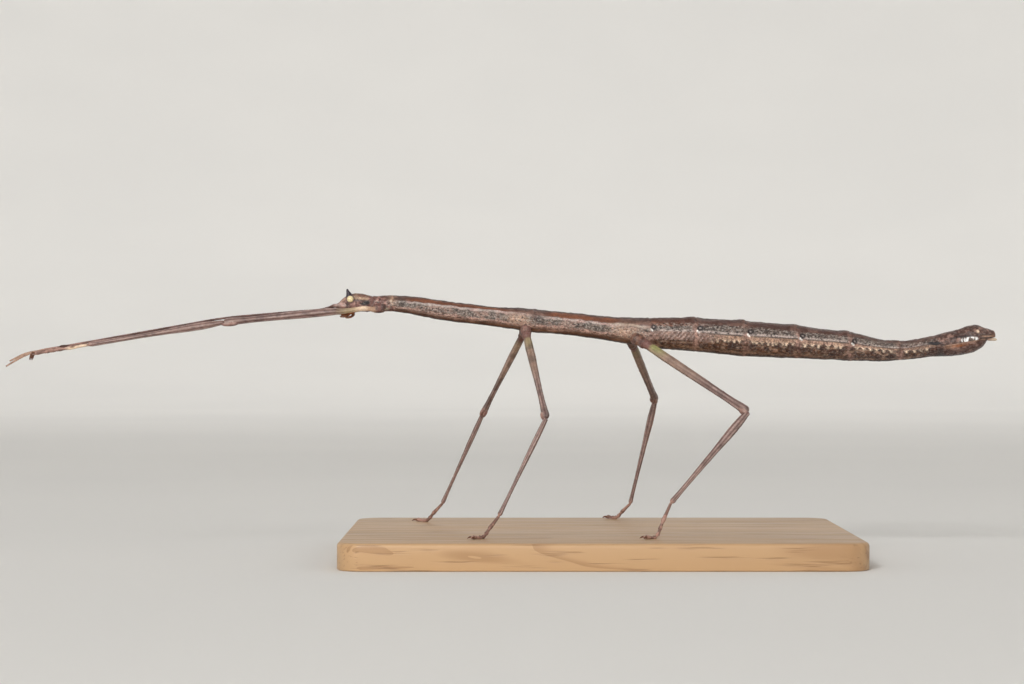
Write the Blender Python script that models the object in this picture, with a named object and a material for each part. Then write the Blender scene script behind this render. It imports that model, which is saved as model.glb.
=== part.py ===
"""A branchlet stick insect, a wingless female about 100 mm long in the body, life size.

Both forelegs and both feelers are stretched forward, and she stands on a flat wooden base.
Units are metres, +Z is up. The head points to -X and the insect's left side to -Y. The origin is the
centre of the underside of the base.
"""

import bmesh
import bpy
import numpy as np
from mathutils import Matrix

MM = 0.001
GAP = 0.3 * MM
FINE_GAP = 0.2 * MM
LEFT, RIGHT = -1, 1
SIDES = {"left": LEFT, "right": RIGHT}

# The base
BASE_LENGTH = 76 * MM
BASE_WIDTH = 60 * MM
BASE_THICK = 4 * MM
BASE_CORNER = 4 * MM
BASE_EDGE = 0.6 * MM

# The trunk from neck to tail tip: x, height of its axis, depth and width, in millimetres
TRUNK = np.array([
    (-34.1, 38.30, 2.30, 2.20),
    (-30.9, 38.30, 2.42, 2.40),
    (-24.0, 37.35, 2.95, 2.85),
    (-15.0, 36.25, 2.95, 3.00),
    (-11.0, 35.85, 3.40, 3.80),
    (-5.0, 35.30, 3.40, 3.45),
    (2.6, 34.40, 3.70, 3.90),
    (7.9, 33.90, 4.50, 4.85),
    (14.9, 33.60, 5.10, 5.35),
    (22.5, 33.00, 5.35, 5.60),
    (30.4, 32.50, 4.90, 5.15),
    (38.3, 31.80, 4.25, 4.50),
    (45.9, 31.15, 2.85, 3.30),
    (51.0, 31.90, 3.15, 3.50),
    (54.4, 32.40, 3.75, 3.60),
    (57.7, 33.20, 3.70, 3.10),
    (59.2, 33.40, 2.10, 2.30),
    (60.4, 33.50, 0.80, 1.30),
]) * MM

# Where each piece of the trunk ends, from the neck back
TRUNK_START = -34.1 * MM
TRUNK_ENDS = {
    "prothorax": -30.9 * MM,
    "mesothorax": -9.6 * MM,
    "metathorax": 7.9 * MM,
    "abdomen_2": 14.9 * MM,
    "abdomen_3": 22.5 * MM,
    "abdomen_4": 30.4 * MM,
    "abdomen_5": 38.3 * MM,
    "abdomen_6": 45.9 * MM,
    "abdomen_7": 51.0 * MM,
    "abdomen_8": 54.4 * MM,
    "abdomen_9": 57.7 * MM,
    "abdomen_10": 60.4 * MM,
}
TRUNK_SIDES = 20
TRUNK_RING_STEP = 1.7 * MM
COLLAR = 0.09 * MM
COLLAR_REACH = 0.55 * MM
BACK_KEEL = 0.05

# The plate under the tail, split from segments 8 to 10 along a sloping line
OPERCULUM_START, OPERCULUM_END = 51.0 * MM, 59.2 * MM
TAIL_SPLIT_FRONT, TAIL_SPLIT_REAR = 31.7 * MM, 33.1 * MM
CERCUS_ROOT = np.array((59.5, 0.42, 32.85)) * MM
CERCUS_LENGTH = 1.2 * MM
CERCUS_SPREAD = 0.1 * MM
CERCUS_THICK = 0.5 * MM

# The head from the neck forward: x, height of its axis, depth and width, in millimetres
HEAD = np.array([
    (-34.35, 38.32, 2.05, 1.95),
    (-34.7, 38.42, 2.45, 2.25),
    (-36.0, 38.50, 2.72, 2.45),
    (-37.3, 38.45, 2.72, 2.35),
    (-38.3, 38.18, 2.40, 2.10),
    (-39.1, 37.80, 1.75, 1.65),
    (-39.6, 37.60, 1.10, 1.15),
]) * MM
HEAD_SIDES = 24
EYE_PLACE = np.array((-37.5, 1.0, 39.0)) * MM
EYE_RADIUS = 0.53 * MM
HORN_PLACE = np.array((-37.8, 0.55, 39.3)) * MM
HORN_TIP = np.array((-38.05, 0.68, 40.55)) * MM
HORN_THICK = 0.8 * MM
HORN_TAPER = np.array((1, 0.8, 0.6, 0.42, 0.2))

# The jaws, from the head down, and the palps of the right side, in millimetres
JAW_ROUTE = ((-37.9, 0, 37.5), (-38.2, 0, 36.9), (-38.15, 0, 36.25))
JAW_SIZE = (1.7, 1.75, 1.75, 1.7, 1.5, 1.1, 0.5)
JAW_WIDTH = 0.9
PALP_THICK = 0.42 * MM
PALP_TAPER = ((0, 1), (0.45, 1), (0.5, 0.8), (0.55, 1), (0.9, 0.9), (1, 0.4))
PALP_ROUTES = (
    ((-37.7, 0.5, 36.85), (-37.9, 0.85, 36.55), (-38.6, 0.85, 36.3), (-39.1, 0.7, 36.25)),
    ((-37.3, 0.4, 36.8), (-37.1, 0.6, 36.45), (-37.6, 0.6, 36.15), (-38.2, 0.45, 36.05)),
)

# Feelers, which lie side by side in the valley on top of the two forelegs
FEELER_ROOT = np.array((-38.1, 0.95, 37.95)) * MM
SCAPE_END = np.array((-39.6, 0.80, 38.05)) * MM
FEELER_SPREAD = 0.4 * MM
FEELER_THICK = 0.5 * MM
FEELER_REST_START, FEELER_REST_END = -42.0 * MM, -85.0 * MM
FEELER_TIPS = {"left": (-89.8, 0.35, 28.8), "right": (-89.4, 0.5, 29.6)}
# Half the depth of a foreleg past its bent root, at the knee, the ankle and the toe
FORELEG_HALF = np.array((0.6, 0.62, 0.4, 0.31)) * MM
# Thickness along a feeler: share of its length, thickness in millimetres
FEELER_TAPER = ((0, 0.85), (0.024, 0.85), (0.031, 0.6), (0.043, 0.62), (0.05, 0.5), (0.8, 0.5), (1, 0.2))

# Legs: where each joint lies on the left side or the right, in millimetres
HIPS = {"fore": (-32.4, 1.0, 37.7), "mid": (-11.0, 1.3, 34.7), "hind": (5.2, 1.4, 33.3)}
TROCHANTERS = {
    ("fore", "left"): (-34.1, 1.65, 37.4), ("fore", "right"): (-34.1, 1.65, 37.4),
    ("mid", "left"): (-10.8, 3.1, 33.4), ("mid", "right"): (-11.4, 3.1, 33.4),
    ("hind", "left"): (7.3, 3.2, 32.1), ("hind", "right"): (5.5, 3.3, 31.9),
}
KNEES = {
    ("fore", "left"): (-56.7, 0.95, 35.5), ("fore", "right"): (-56.7, 0.95, 35.5),
    ("mid", "left"): (-8.0, 14.9, 21.3), ("mid", "right"): (-17.6, 13.4, 21.2),
    ("hind", "left"): (21.8, 12.6, 22.2), ("hind", "right"): (9.8, 20.8, 23.3),
}
ANKLES = {
    ("fore", "left"): (-77.3, 0.95, 32.1), ("fore", "right"): (-77.3, 0.95, 32.1),
    ("mid", "left"): (-14.9, 18.4, 7.2), ("mid", "right"): (-24.0, 16.6, 7.0),
    ("hind", "left"): (10.1, 18.6, 9.1), ("hind", "right"): (5.9, 23.3, 6.6),
}
TOES = {
    ("fore", "left"): (-85.4, 0.95, 30.8), ("fore", "right"): (-85.4, 0.95, 30.8),
    ("mid", "left"): (-18.6, 21.6, 4.6), ("mid", "right"): (-28.0, 19.4, 4.6),
    ("hind", "left"): (6.3, 21.2, 4.6), ("hind", "right"): (2.4, 26.6, 4.6),
}
# The bent root of a fore femur goes round the head
FORE_ROOT = ((-35.3, 2.0, 37.85), (-37.2, 2.15, 37.5), (-39.0, 1.9, 37.15), (-41.6, 1.15, 37.0))

# Depth along each femur and tibia: share of its length, depth in millimetres
FEMUR_DEPTH = {
    "fore": ((0, 0.75), (0.14, 0.75), (0.30, 1.20), (0.90, 1.12), (0.96, 1.25), (1, 1.0)),
    "mid": ((0, 1.15), (0.1, 1.25), (0.88, 1.05), (0.96, 1.22), (1, 1.2)),
    "hind": ((0, 1.45), (0.1, 1.65), (0.88, 1.3), (0.96, 1.45), (1, 1.4)),
}
TIBIA_DEPTH = {
    "fore": ((0, 0.6), (0.10, 1.05), (0.30, 1.10), (0.42, 0.87), (1, 0.75)),
    "mid": ((0, 0.75), (0.1, 0.85), (0.95, 0.75), (1, 0.85)),
    "hind": ((0, 0.85), (0.08, 1.15), (0.5, 0.9), (0.95, 0.8), (1, 0.9)),
}
LIMB_WIDTH = 0.85
LIMB_SIDES = 10
LIMB_GROOVE = 0.86
COXA_THICK = {"fore": 1.35 * MM, "mid": 1.55 * MM, "hind": 1.75 * MM}
COXA_TAPER = ((0, 1), (0.5, 1), (1, 0.78))
COXA_DOME = (0.3, 0.35)
FEMUR_DOME = (0.3 * MM, 0.5 * MM)
TIBIA_DOME = (0.2 * MM, 0.3 * MM)
FEMUR_INSET = 0.1 * MM

# Feet: their joints as shares of their length, the flat length that rests on the floor, and the claws
TARSUS_THICK = 0.62 * MM
TARSUS_TAPER = ((0, 0.7), (0.1, 0.9), (0.88, 1), (0.96, 0.85), (1, 0.4))
TARSUS_JOINTS = (0.42, 0.58, 0.70, 0.80)
TARSUS_NECK, TARSUS_NECK_REACH = 0.18, 0.012
TARSUS_FLAT = 1.9 * MM
CLAW_LENGTH = 0.95 * MM
CLAW_THICK = 0.24 * MM
CLAW_TAPER = np.array((1, 1, 0.9, 0.7, 0.4))
CLAW_ROOT_BACK, CLAW_ROOT_SIDE = 0.25 * MM, 0.12 * MM
CLAW_SPREAD = 0.4 * MM
CLAW_DROP = {"fore": 0.85 * MM, "mid": 0.22 * MM, "hind": 0.22 * MM}

COLOURS = {
    "back": ((0.16, 0.09, 0.07), 0.55),
    "thorax": ((0.19, 0.12, 0.09), 0.55),
    "head": ((0.22, 0.13, 0.09), 0.5),
    "leg": ((0.20, 0.12, 0.09), 0.55),
    "foot": ((0.24, 0.16, 0.12), 0.55),
    "feeler": ((0.17, 0.12, 0.10), 0.5),
    "eye": ((0.72, 0.60, 0.30), 0.2),
    "horn": ((0.03, 0.022, 0.03), 0.4),
    "mouth": ((0.28, 0.13, 0.06), 0.45),
    "operculum": ((0.25, 0.12, 0.05), 0.4),
    "wood": ((0.55, 0.36, 0.2), 0.5),
}


def clear_scene():
    for obj in list(bpy.data.objects):
        bpy.data.objects.remove(obj, do_unlink=True)


def new_collection(name):
    made = bpy.data.collections.new(name)
    bpy.context.scene.collection.children.link(made)
    return made


def material(name):
    """The Principled material of one of the named colours."""
    made = bpy.data.materials.get(name)
    if made:
        return made
    colour, roughness = COLOURS[name]
    made = bpy.data.materials.new(name)
    made.use_nodes = True
    shader = made.node_tree.nodes["Principled BSDF"]
    shader.inputs["Base Color"].default_value = (*colour, 1)
    shader.inputs["Roughness"].default_value = roughness
    shader.inputs["Metallic"].default_value = 0
    return made


def mesh_object(name, points, faces):
    mesh = bpy.data.meshes.new(name)
    mesh.from_pydata([tuple(point) for point in points], [], [tuple(face) for face in faces])
    mesh.validate()
    obj = bpy.data.objects.new(name, mesh)
    helpers.objects.link(obj)
    return obj


def unit(vector):
    return vector / np.linalg.norm(vector, axis=-1, keepdims=True)


def smooth(x, table):
    """The table's other columns at x, on cubic curves through its rows."""
    table = table[np.argsort(table[:, 0])]
    places, values = table[:, 0], table[:, 1:]
    slopes = np.gradient(values, places, axis=0)
    row = np.clip(np.searchsorted(places, x) - 1, 0, len(places) - 2)
    span = (places[row + 1] - places[row])[:, None]
    t = ((x - places[row]) / (places[row + 1] - places[row]))[:, None]
    ease = t * t * (3 - 2 * t)
    bend_in = t * (1 - t) ** 2
    bend_out = t * t * (t - 1)
    blend = values[row] * (1 - ease) + values[row + 1] * ease
    return blend + span * (bend_in * slopes[row] + bend_out * slopes[row + 1])


def curve_through(points, shares):
    """Places at the given shares of the length of a smooth curve through the points."""
    points = np.asarray(points, float)
    ends = np.vstack([2 * points[0] - points[1], points, 2 * points[-1] - points[-2]])
    t = np.linspace(0, 1, 17)[:-1, None]
    runs = []
    for a, b, c, d in zip(ends, ends[1:], ends[2:], ends[3:]):
        runs.append(
            0.5 * (2 * b + (c - a) * t + (2 * a - 5 * b + 4 * c - d) * t**2
                   + (3 * b - a - 3 * c + d) * t**3)
        )
    line = np.vstack([*runs, points[-1:]])
    length = np.concatenate([[0], np.cumsum(np.linalg.norm(np.diff(line, axis=0), axis=1))])
    wanted = np.asarray(shares) * length[-1]
    return np.stack([np.interp(wanted, length, line[:, k]) for k in range(3)], axis=1)


def round_section(sides):
    """Across and up, on a circle of radius 1."""
    angle = np.arange(sides) * 2 * np.pi / sides
    return np.stack([np.cos(angle), np.sin(angle)], axis=1)


def keeled_section(sides, groove):
    """A section with a ridge at every second corner and a groove between."""
    ridge = np.where(np.arange(sides) % 2 == 0, 1.0, groove)
    return round_section(sides) * ridge[:, None]


class Tube:
    """A closed loft: one section carried along a path, with a depth and a width at each ring."""

    def __init__(self, path, depth, width, section, side=(0, 1, 0)):
        self.path = np.asarray(path, float)
        self.depth = np.broadcast_to(depth, len(self.path)).astype(float)
        self.width = np.broadcast_to(width, len(self.path)).astype(float)
        self.section = section
        self.along = unit(np.gradient(self.path, axis=0))
        self.up = unit(np.cross(self.along, np.asarray(side, float)))
        self.side = np.cross(self.up, self.along)

    def points(self, grow=0.0):
        """Every ring, made thicker and longer by grow."""
        path = self.path.copy()
        path[0] -= self.along[0] * grow
        path[-1] += self.along[-1] * grow
        across = self.section[None, :, 0] * (self.width[:, None] / 2 + grow)
        rise = self.section[None, :, 1] * (self.depth[:, None] / 2 + grow)
        return path[:, None] + across[..., None] * self.side[:, None] + rise[..., None] * self.up[:, None]


def skin_faces(rings, sides):
    """The faces between the rings of a closed tube, and its two flat ends."""
    corner = np.arange(rings * sides).reshape(rings, sides)
    after = np.roll(corner, -1, axis=1)
    quads = np.stack([corner[:-1], after[:-1], after[1:], corner[1:]], axis=-1).reshape(-1, 4)
    return [*quads.tolist(), corner[0, ::-1].tolist(), corner[-1].tolist()]


def loft(name, rings):
    """An object from rings of points, all with the same count."""
    return mesh_object(name, rings.reshape(-1, 3), skin_faces(*rings.shape[:2]))


def tube_object(name, tube, grow=0.0):
    return loft(name, tube.points(grow))


def domed(length, front, rear, inner):
    """Shares of a length and the thickness there: a quarter circle at each end, full between."""
    quarter = np.radians((8, 35, 62, 90))
    start = front * (1 - np.cos(quarter))
    finish = length - rear * (1 - np.cos(quarter[::-1]))
    middle = np.asarray(inner) * (length - front - rear) + front
    shares = np.concatenate([start, middle, finish]) / length
    swell = np.concatenate([np.sin(quarter), np.ones(len(middle)), np.sin(quarter[::-1])])
    return shares, swell


def limb(points, depths, dome, side):
    """A keeled length of leg with domed ends."""
    points = np.asarray(points, float)
    length = np.linalg.norm(np.diff(points, axis=0), axis=1).sum()
    inner = np.linspace(0, 1, 4 + 3 * len(points))[1:-1]
    shares, swell = domed(length, *dome, inner)
    depth = np.interp(shares, *np.array(depths).T) * MM * swell
    return Tube(curve_through(points, shares), depth, depth * LIMB_WIDTH,
                keeled_section(LIMB_SIDES, LIMB_GROOVE), side)


def modified(obj, operation, other):
    """Applies one Boolean to obj with the other object, which is then removed."""
    change = obj.modifiers.new(operation.lower(), "BOOLEAN")
    change.operation = operation
    change.object = other
    change.solver = "EXACT"
    made = bpy.data.meshes.new_from_object(obj.evaluated_get(bpy.context.evaluated_depsgraph_get()))
    obj.modifiers.clear()
    obj.data = made
    bpy.data.objects.remove(other, do_unlink=True)
    keep_largest(obj)
    return obj


def keep_largest(obj):
    """Leaves only the closed surface with the largest volume."""
    form = bmesh.new()
    form.from_mesh(obj.data)
    left = set(form.faces)
    pieces = []
    while left:
        queue = [left.pop()]
        piece = list(queue)
        while queue:
            for edge in queue.pop().edges:
                for face in edge.link_faces:
                    if face in left:
                        left.remove(face)
                        queue.append(face)
                        piece.append(face)
        pieces.append(piece)
    volume = [sum(face.calc_center_median().dot(face.normal) * face.calc_area() for face in piece)
              for piece in pieces]
    for index, piece in enumerate(pieces):
        if index != int(np.argmax(volume)):
            bmesh.ops.delete(form, geom=piece, context="FACES")
    form.to_mesh(obj.data)
    form.free()


def trim(obj, *blockers):
    for blocker in blockers:
        modified(obj, "DIFFERENCE", blocker)
    return obj


def join(obj, *others):
    for other in others:
        modified(obj, "UNION", other)
    return obj


def finish(obj, name, colour):
    """Names a piece, gives it its material and moves it to the insect's own collection."""
    obj.name = name
    obj.data.name = name
    obj.data.materials.clear()
    obj.data.materials.append(material(colour))
    obj.data.shade_smooth()
    obj.data.set_sharp_from_angle(angle=np.radians(40))
    helpers.objects.unlink(obj)
    insect.objects.link(obj)
    return obj


def placing(centre, stretch=(1, 1, 1)):
    """A matrix that stretches a shape about the origin and then moves it to the centre."""
    return Matrix.Translation(tuple(centre)) @ Matrix.Diagonal((*stretch, 1))


def adopt(obj, name):
    """Moves an object that an operator made to the helpers."""
    for collection in list(obj.users_collection):
        collection.objects.unlink(obj)
    helpers.objects.link(obj)
    obj.name = name
    return obj


def mirrored(point, side):
    """A point given for the right side, in metres, on the side asked for."""
    return np.asarray(point, float) * (1, side, 1)


def trunk_rings(x, grow=0.0, collars=(None, None)):
    """Rings of the trunk at each x. A collar is a small raised rim near a piece's ends."""
    axis, depth, width = smooth(x, TRUNK).T
    rim = np.zeros(len(x))
    for place in collars:
        if place is not None:
            rim += COLLAR * np.exp(-((x - place) / COLLAR_REACH) ** 2)
    across, rise = round_section(TRUNK_SIDES).T
    keel = 1 + BACK_KEEL * np.clip(rise, 0, 1) ** 8
    y = across * (width[:, None] / 2 + rim[:, None] + grow)
    z = axis[:, None] + rise * keel * (depth[:, None] / 2 + rim[:, None] + grow)
    return np.stack([np.broadcast_to(x[:, None], y.shape), y, z], axis=-1)


def trunk_blocker(start, end, grow):
    """A length of the trunk, thicker by grow, to trim what grows from it."""
    x = np.linspace(start, end, 12)
    return loft("trunk_blocker", trunk_rings(x, grow))


def tail_split(x):
    """Height of the line between the upper plates of the tail and the plate under it."""
    share = (x - OPERCULUM_START) / (OPERCULUM_END - OPERCULUM_START)
    return TAIL_SPLIT_FRONT + share * (TAIL_SPLIT_REAR - TAIL_SPLIT_FRONT)


def make_trunk():
    start = TRUNK_START
    for name, end in TRUNK_ENDS.items():
        first, last = start + GAP / 2, end - GAP / 2
        count = max(5, int(np.ceil((last - first) / TRUNK_RING_STEP)) + 1)
        rim_share = COLLAR_REACH / (last - first)
        shares = np.unique(np.concatenate([np.linspace(0, 1, count), [1 - rim_share]]))
        x = first + shares * (last - first)
        rings = trunk_rings(x, collars=(first, last))
        if start >= OPERCULUM_START:
            rings[..., 2] = np.maximum(rings[..., 2], tail_split(x)[:, None] + GAP / 2)
        colour = "thorax" if "thorax" in name else "back"
        finish(loft(name, rings), name, colour)
        start = end


def make_operculum():
    x = np.linspace(OPERCULUM_START + GAP / 2, OPERCULUM_END, 9)
    rings = trunk_rings(x)
    rings[..., 2] = np.minimum(rings[..., 2], tail_split(x)[:, None] - GAP / 2)
    finish(loft("operculum", rings), "operculum", "operculum")


def make_cerci():
    for word, side in SIDES.items():
        root = mirrored(CERCUS_ROOT, side)
        tip = root + mirrored((CERCUS_LENGTH, CERCUS_SPREAD, 0), side)
        shares, swell = domed(CERCUS_LENGTH, CERCUS_THICK / 2, CERCUS_THICK / 2, (0.5,))
        thick = CERCUS_THICK * swell
        tube = Tube(curve_through((root, tip), shares), thick, thick, round_section(8))
        finish(tube_object("cercus", tube), f"cercus_{word}", "operculum")


def head_rings(grow=0.0):
    x = np.linspace(HEAD[:, 0].max(), HEAD[:, 0].min(), 15)
    axis, depth, width = smooth(x, HEAD).T
    ends = np.zeros(len(x))
    ends[0], ends[-1] = grow, -grow
    across, rise = round_section(HEAD_SIDES).T
    y = across * (width[:, None] / 2 + grow)
    z = axis[:, None] + rise * (depth[:, None] / 2 + grow)
    rings = np.stack([np.broadcast_to((x + ends)[:, None], y.shape), y, z], axis=-1)
    return rings[:, ::-1]


def ball(name, centre, radius):
    bpy.ops.mesh.primitive_uv_sphere_add(segments=16, ring_count=8, radius=radius)
    obj = bpy.context.active_object
    obj.data.transform(placing(centre))
    return adopt(obj, name)


def make_head():
    head = loft("head", head_rings())
    for side in SIDES.values():
        trim(head, ball("socket", mirrored(EYE_PLACE, side), EYE_RADIUS + FINE_GAP))
    finish(head, "head", "head")
    for word, side in SIDES.items():
        finish(ball("eye", mirrored(EYE_PLACE, side), EYE_RADIUS), f"eye_{word}", "eye")
        path = np.linspace(mirrored(HORN_PLACE, side), mirrored(HORN_TIP, side), len(HORN_TAPER))
        thick = HORN_THICK * HORN_TAPER
        horn = Tube(path, thick, thick, round_section(10))
        finish(trim(tube_object("horn", horn), loft("head_blocker", head_rings(FINE_GAP)),
                    ball("eye_blocker", mirrored(EYE_PLACE, side), EYE_RADIUS + FINE_GAP)),
               f"horn_{word}", "horn")


def make_mouth():
    """The jaws and lips under the front of the head, with two jointed palps on each side."""
    shares = np.linspace(0, 1, len(JAW_SIZE))
    size = np.array(JAW_SIZE) * MM
    jaws = tube_object("jaws", Tube(curve_through(np.array(JAW_ROUTE) * MM, shares), size,
                                    size * JAW_WIDTH, round_section(14)))
    palps = []
    for side in SIDES.values():
        for route in PALP_ROUTES:
            route = [mirrored(np.array(point) * MM, side) for point in route]
            shares = np.linspace(0, 1, 9)
            thick = PALP_THICK * np.interp(shares, *np.array(PALP_TAPER).T)
            palps.append(tube_object("palp", Tube(curve_through(route, shares), thick, thick,
                                                  round_section(6))))
    mouth = join(jaws, *palps)
    finish(trim(mouth, loft("head_blocker", head_rings(FINE_GAP))), "mouthparts", "mouth")


def feeler_height(x):
    """Height at x of the axis of a feeler that lies against the upper inner side of a foreleg.

    A foreleg's section is an ellipse. Grown by the gap and half the feeler, it is the line on which the
    feeler's axis lies.
    """
    joints = [FORE_ROOT[-1], KNEES["fore", "left"], ANKLES["fore", "left"], TOES["fore", "left"]]
    place, apart, height = np.array(joints).T * MM
    half = np.interp(-x, -place, FORELEG_HALF)
    room = GAP + FEELER_THICK / 2
    lean = (np.interp(-x, -place, apart) - FEELER_SPREAD) / (half * LIMB_WIDTH + room)
    return np.interp(-x, -place, height) + (half + room) * np.sqrt(1 - lean**2)


def make_feelers():
    for word, side in SIDES.items():
        x = np.linspace(FEELER_REST_START, FEELER_REST_END, 12)
        route = [mirrored(FEELER_ROOT, side), mirrored(SCAPE_END, side)]
        route += [np.array((px, side * FEELER_SPREAD, pz)) for px, pz in zip(x, feeler_height(x))]
        route.append(mirrored(np.array(FEELER_TIPS[word]) * MM, side))
        bends = np.array(FEELER_TAPER)[:, 0]
        shares = np.unique(np.concatenate([bends, (0.008, 0.016), np.linspace(0.07, 1, 32)]))
        thick = np.interp(shares, *np.array(FEELER_TAPER).T) * MM
        tube = Tube(curve_through(route, shares), thick, thick, round_section(8))
        feeler = tube_object("feeler", tube)
        finish(trim(feeler, loft("head_blocker", head_rings(FINE_GAP))), f"antenna_{word}", "feeler")


def joint_place(table, leg, word):
    return mirrored(np.array(table[leg, word]) * MM, SIDES[word])


def make_coxa(leg, word):
    hip = mirrored(np.array(HIPS[leg]) * MM, SIDES[word])
    end = joint_place(TROCHANTERS, leg, word)
    thick = COXA_THICK[leg]
    length = np.linalg.norm(end - hip)
    shares, swell = domed(length, thick * COXA_DOME[0], thick * COXA_DOME[1], (0.3, 0.6))
    taper = np.interp(shares, *np.array(COXA_TAPER).T) * thick * swell
    return Tube(curve_through((hip, end), shares), taper, taper, round_section(12), (1, 0, 0))


def make_leg(leg, word):
    side = SIDES[word]
    hip_end = joint_place(TROCHANTERS, leg, word)
    knee = joint_place(KNEES, leg, word)
    ankle = joint_place(ANKLES, leg, word)
    toe = joint_place(TOES, leg, word)
    plane = np.array((0, -1, 0)) if leg == "fore" else unit(np.cross(knee - hip_end, ankle - knee))

    coxa = make_coxa(leg, word)
    x = HIPS[leg][0] * MM
    coxa_object = trim(tube_object("coxa", coxa), trunk_blocker(x - 4 * MM, x + 4 * MM, GAP))
    if leg == "fore":
        trim(coxa_object, loft("head_blocker", head_rings(GAP)))
    finish(coxa_object, f"{leg}_coxa_{word}", "leg")

    bend = [mirrored(np.array(point) * MM, side) for point in FORE_ROOT] if leg == "fore" else []
    start = hip_end + unit(hip_end - coxa.path[0]) * FEMUR_INSET
    femur = limb([start, *bend, knee], FEMUR_DEPTH[leg], FEMUR_DOME, plane)
    finish(trim(tube_object("femur", femur), tube_object("coxa_blocker", coxa, GAP)),
           f"{leg}_femur_{word}", "leg")

    tibia = limb([knee, ankle], TIBIA_DEPTH[leg], TIBIA_DOME, plane)
    finish(trim(tube_object("tibia", tibia), tube_object("femur_blocker", femur, GAP)),
           f"{leg}_tibia_{word}", "leg")

    finish(trim(make_tarsus(ankle, toe, plane, leg), tube_object("tibia_blocker", tibia, GAP)),
           f"{leg}_tarsus_{word}", "foot")


def make_tarsus(ankle, toe, plane, leg):
    """The five short joints of a foot: it slopes down from the shin, then lies flat to the toe."""
    forward = unit((toe - ankle) * (1, 1, 0 if leg != "fore" else 1))
    heel = toe - forward * TARSUS_FLAT
    route = (ankle, ankle + (heel - ankle) * 0.55, heel, toe)
    shares = np.sort(np.concatenate([np.array(TARSUS_JOINTS) + shift for shift in (-0.03, 0, 0.03)]
                                    + [(0, 0.1, 0.25, 0.88, 0.96, 1)]))
    thick = TARSUS_THICK * np.interp(shares, *np.array(TARSUS_TAPER).T)
    for place in TARSUS_JOINTS:
        thick = thick * (1 - TARSUS_NECK * np.exp(-((shares - place) / TARSUS_NECK_REACH) ** 2))
    side = unit(np.cross(forward, (0, 0, 1)))
    foot = tube_object("tarsus", Tube(curve_through(route, shares), thick, thick,
                                      round_section(8), -side))
    claws = []
    for lean in SIDES.values():
        root = toe - forward * CLAW_ROOT_BACK + side * lean * CLAW_ROOT_SIDE
        bend = root + forward * CLAW_LENGTH * 0.6 + side * lean * CLAW_SPREAD * 0.6
        tip = root + forward * CLAW_LENGTH + side * lean * CLAW_SPREAD - np.array((0, 0, CLAW_DROP[leg]))
        path = curve_through((root, bend, tip), np.linspace(0, 1, 5))
        thick = CLAW_THICK * CLAW_TAPER
        claws.append(tube_object("claw", Tube(path, thick, thick, round_section(6), -side)))
    return join(foot, *claws)


def make_base():
    bpy.ops.mesh.primitive_cube_add(size=1)
    base = bpy.context.active_object
    base.data.transform(placing((0, 0, BASE_THICK / 2), (BASE_LENGTH, BASE_WIDTH, BASE_THICK)))
    form = bmesh.new()
    form.from_mesh(base.data)
    upright = [edge for edge in form.edges
               if abs(edge.verts[0].co.z - edge.verts[1].co.z) > BASE_THICK / 2]
    bmesh.ops.bevel(form, geom=upright, offset=BASE_CORNER, segments=6, profile=0.5, affect="EDGES")
    rim = [edge for edge in form.edges if len(edge.link_faces) == 2
           and edge.calc_face_angle() > np.radians(60) and min(v.co.z for v in edge.verts) > BASE_THICK / 2]
    bmesh.ops.bevel(form, geom=rim, offset=BASE_EDGE, segments=2, profile=0.5, affect="EDGES")
    form.to_mesh(base.data)
    form.free()
    finish(adopt(base, "base"), "stand_base", "wood")


clear_scene()
insect = new_collection("branchlet_stick_insect")
helpers = new_collection("helpers")
make_base()
make_trunk()
make_operculum()
make_cerci()
make_head()
make_mouth()
make_feelers()
for leg_name in HIPS:
    for side_name in SIDES:
        make_leg(leg_name, side_name)
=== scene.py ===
"""The finish of a branchlet stick insect, a life-size museum model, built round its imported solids.

Tables of places and sizes are in millimetres and everything else is in metres. +Z is up, the head points
to -X and the insect's left side to -Y. Every piece is a surface worked out with numpy, and its markings
are worked out from where each point lies on it.
"""

import bpy
import numpy as np
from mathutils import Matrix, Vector


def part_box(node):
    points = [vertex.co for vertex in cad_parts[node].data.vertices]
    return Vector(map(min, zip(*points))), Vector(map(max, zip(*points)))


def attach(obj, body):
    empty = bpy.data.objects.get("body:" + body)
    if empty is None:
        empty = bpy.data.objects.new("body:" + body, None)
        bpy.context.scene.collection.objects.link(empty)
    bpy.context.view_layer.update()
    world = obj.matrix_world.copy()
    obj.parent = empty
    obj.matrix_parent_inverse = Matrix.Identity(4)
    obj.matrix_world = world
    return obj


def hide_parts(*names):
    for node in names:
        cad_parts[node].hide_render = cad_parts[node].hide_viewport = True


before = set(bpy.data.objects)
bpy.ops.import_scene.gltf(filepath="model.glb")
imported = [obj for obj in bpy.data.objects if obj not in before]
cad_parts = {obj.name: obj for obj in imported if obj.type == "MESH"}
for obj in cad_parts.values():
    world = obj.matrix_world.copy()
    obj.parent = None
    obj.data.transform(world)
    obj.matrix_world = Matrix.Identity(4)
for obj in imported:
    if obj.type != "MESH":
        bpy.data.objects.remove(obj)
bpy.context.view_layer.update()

bl_info = {
    "name": "Branchlet stick insect",
    "version": (1, 0, 0),
    "blender": (4, 5, 0),
    "location": "3D View > Sidebar > Stick insect",
    "description": "Builds a life-size stick insect with her markings, her wooden base and a studio",
    "category": "Object",
}

MM = 0.001
SIDES = {"left": -1, "right": 1}

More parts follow.
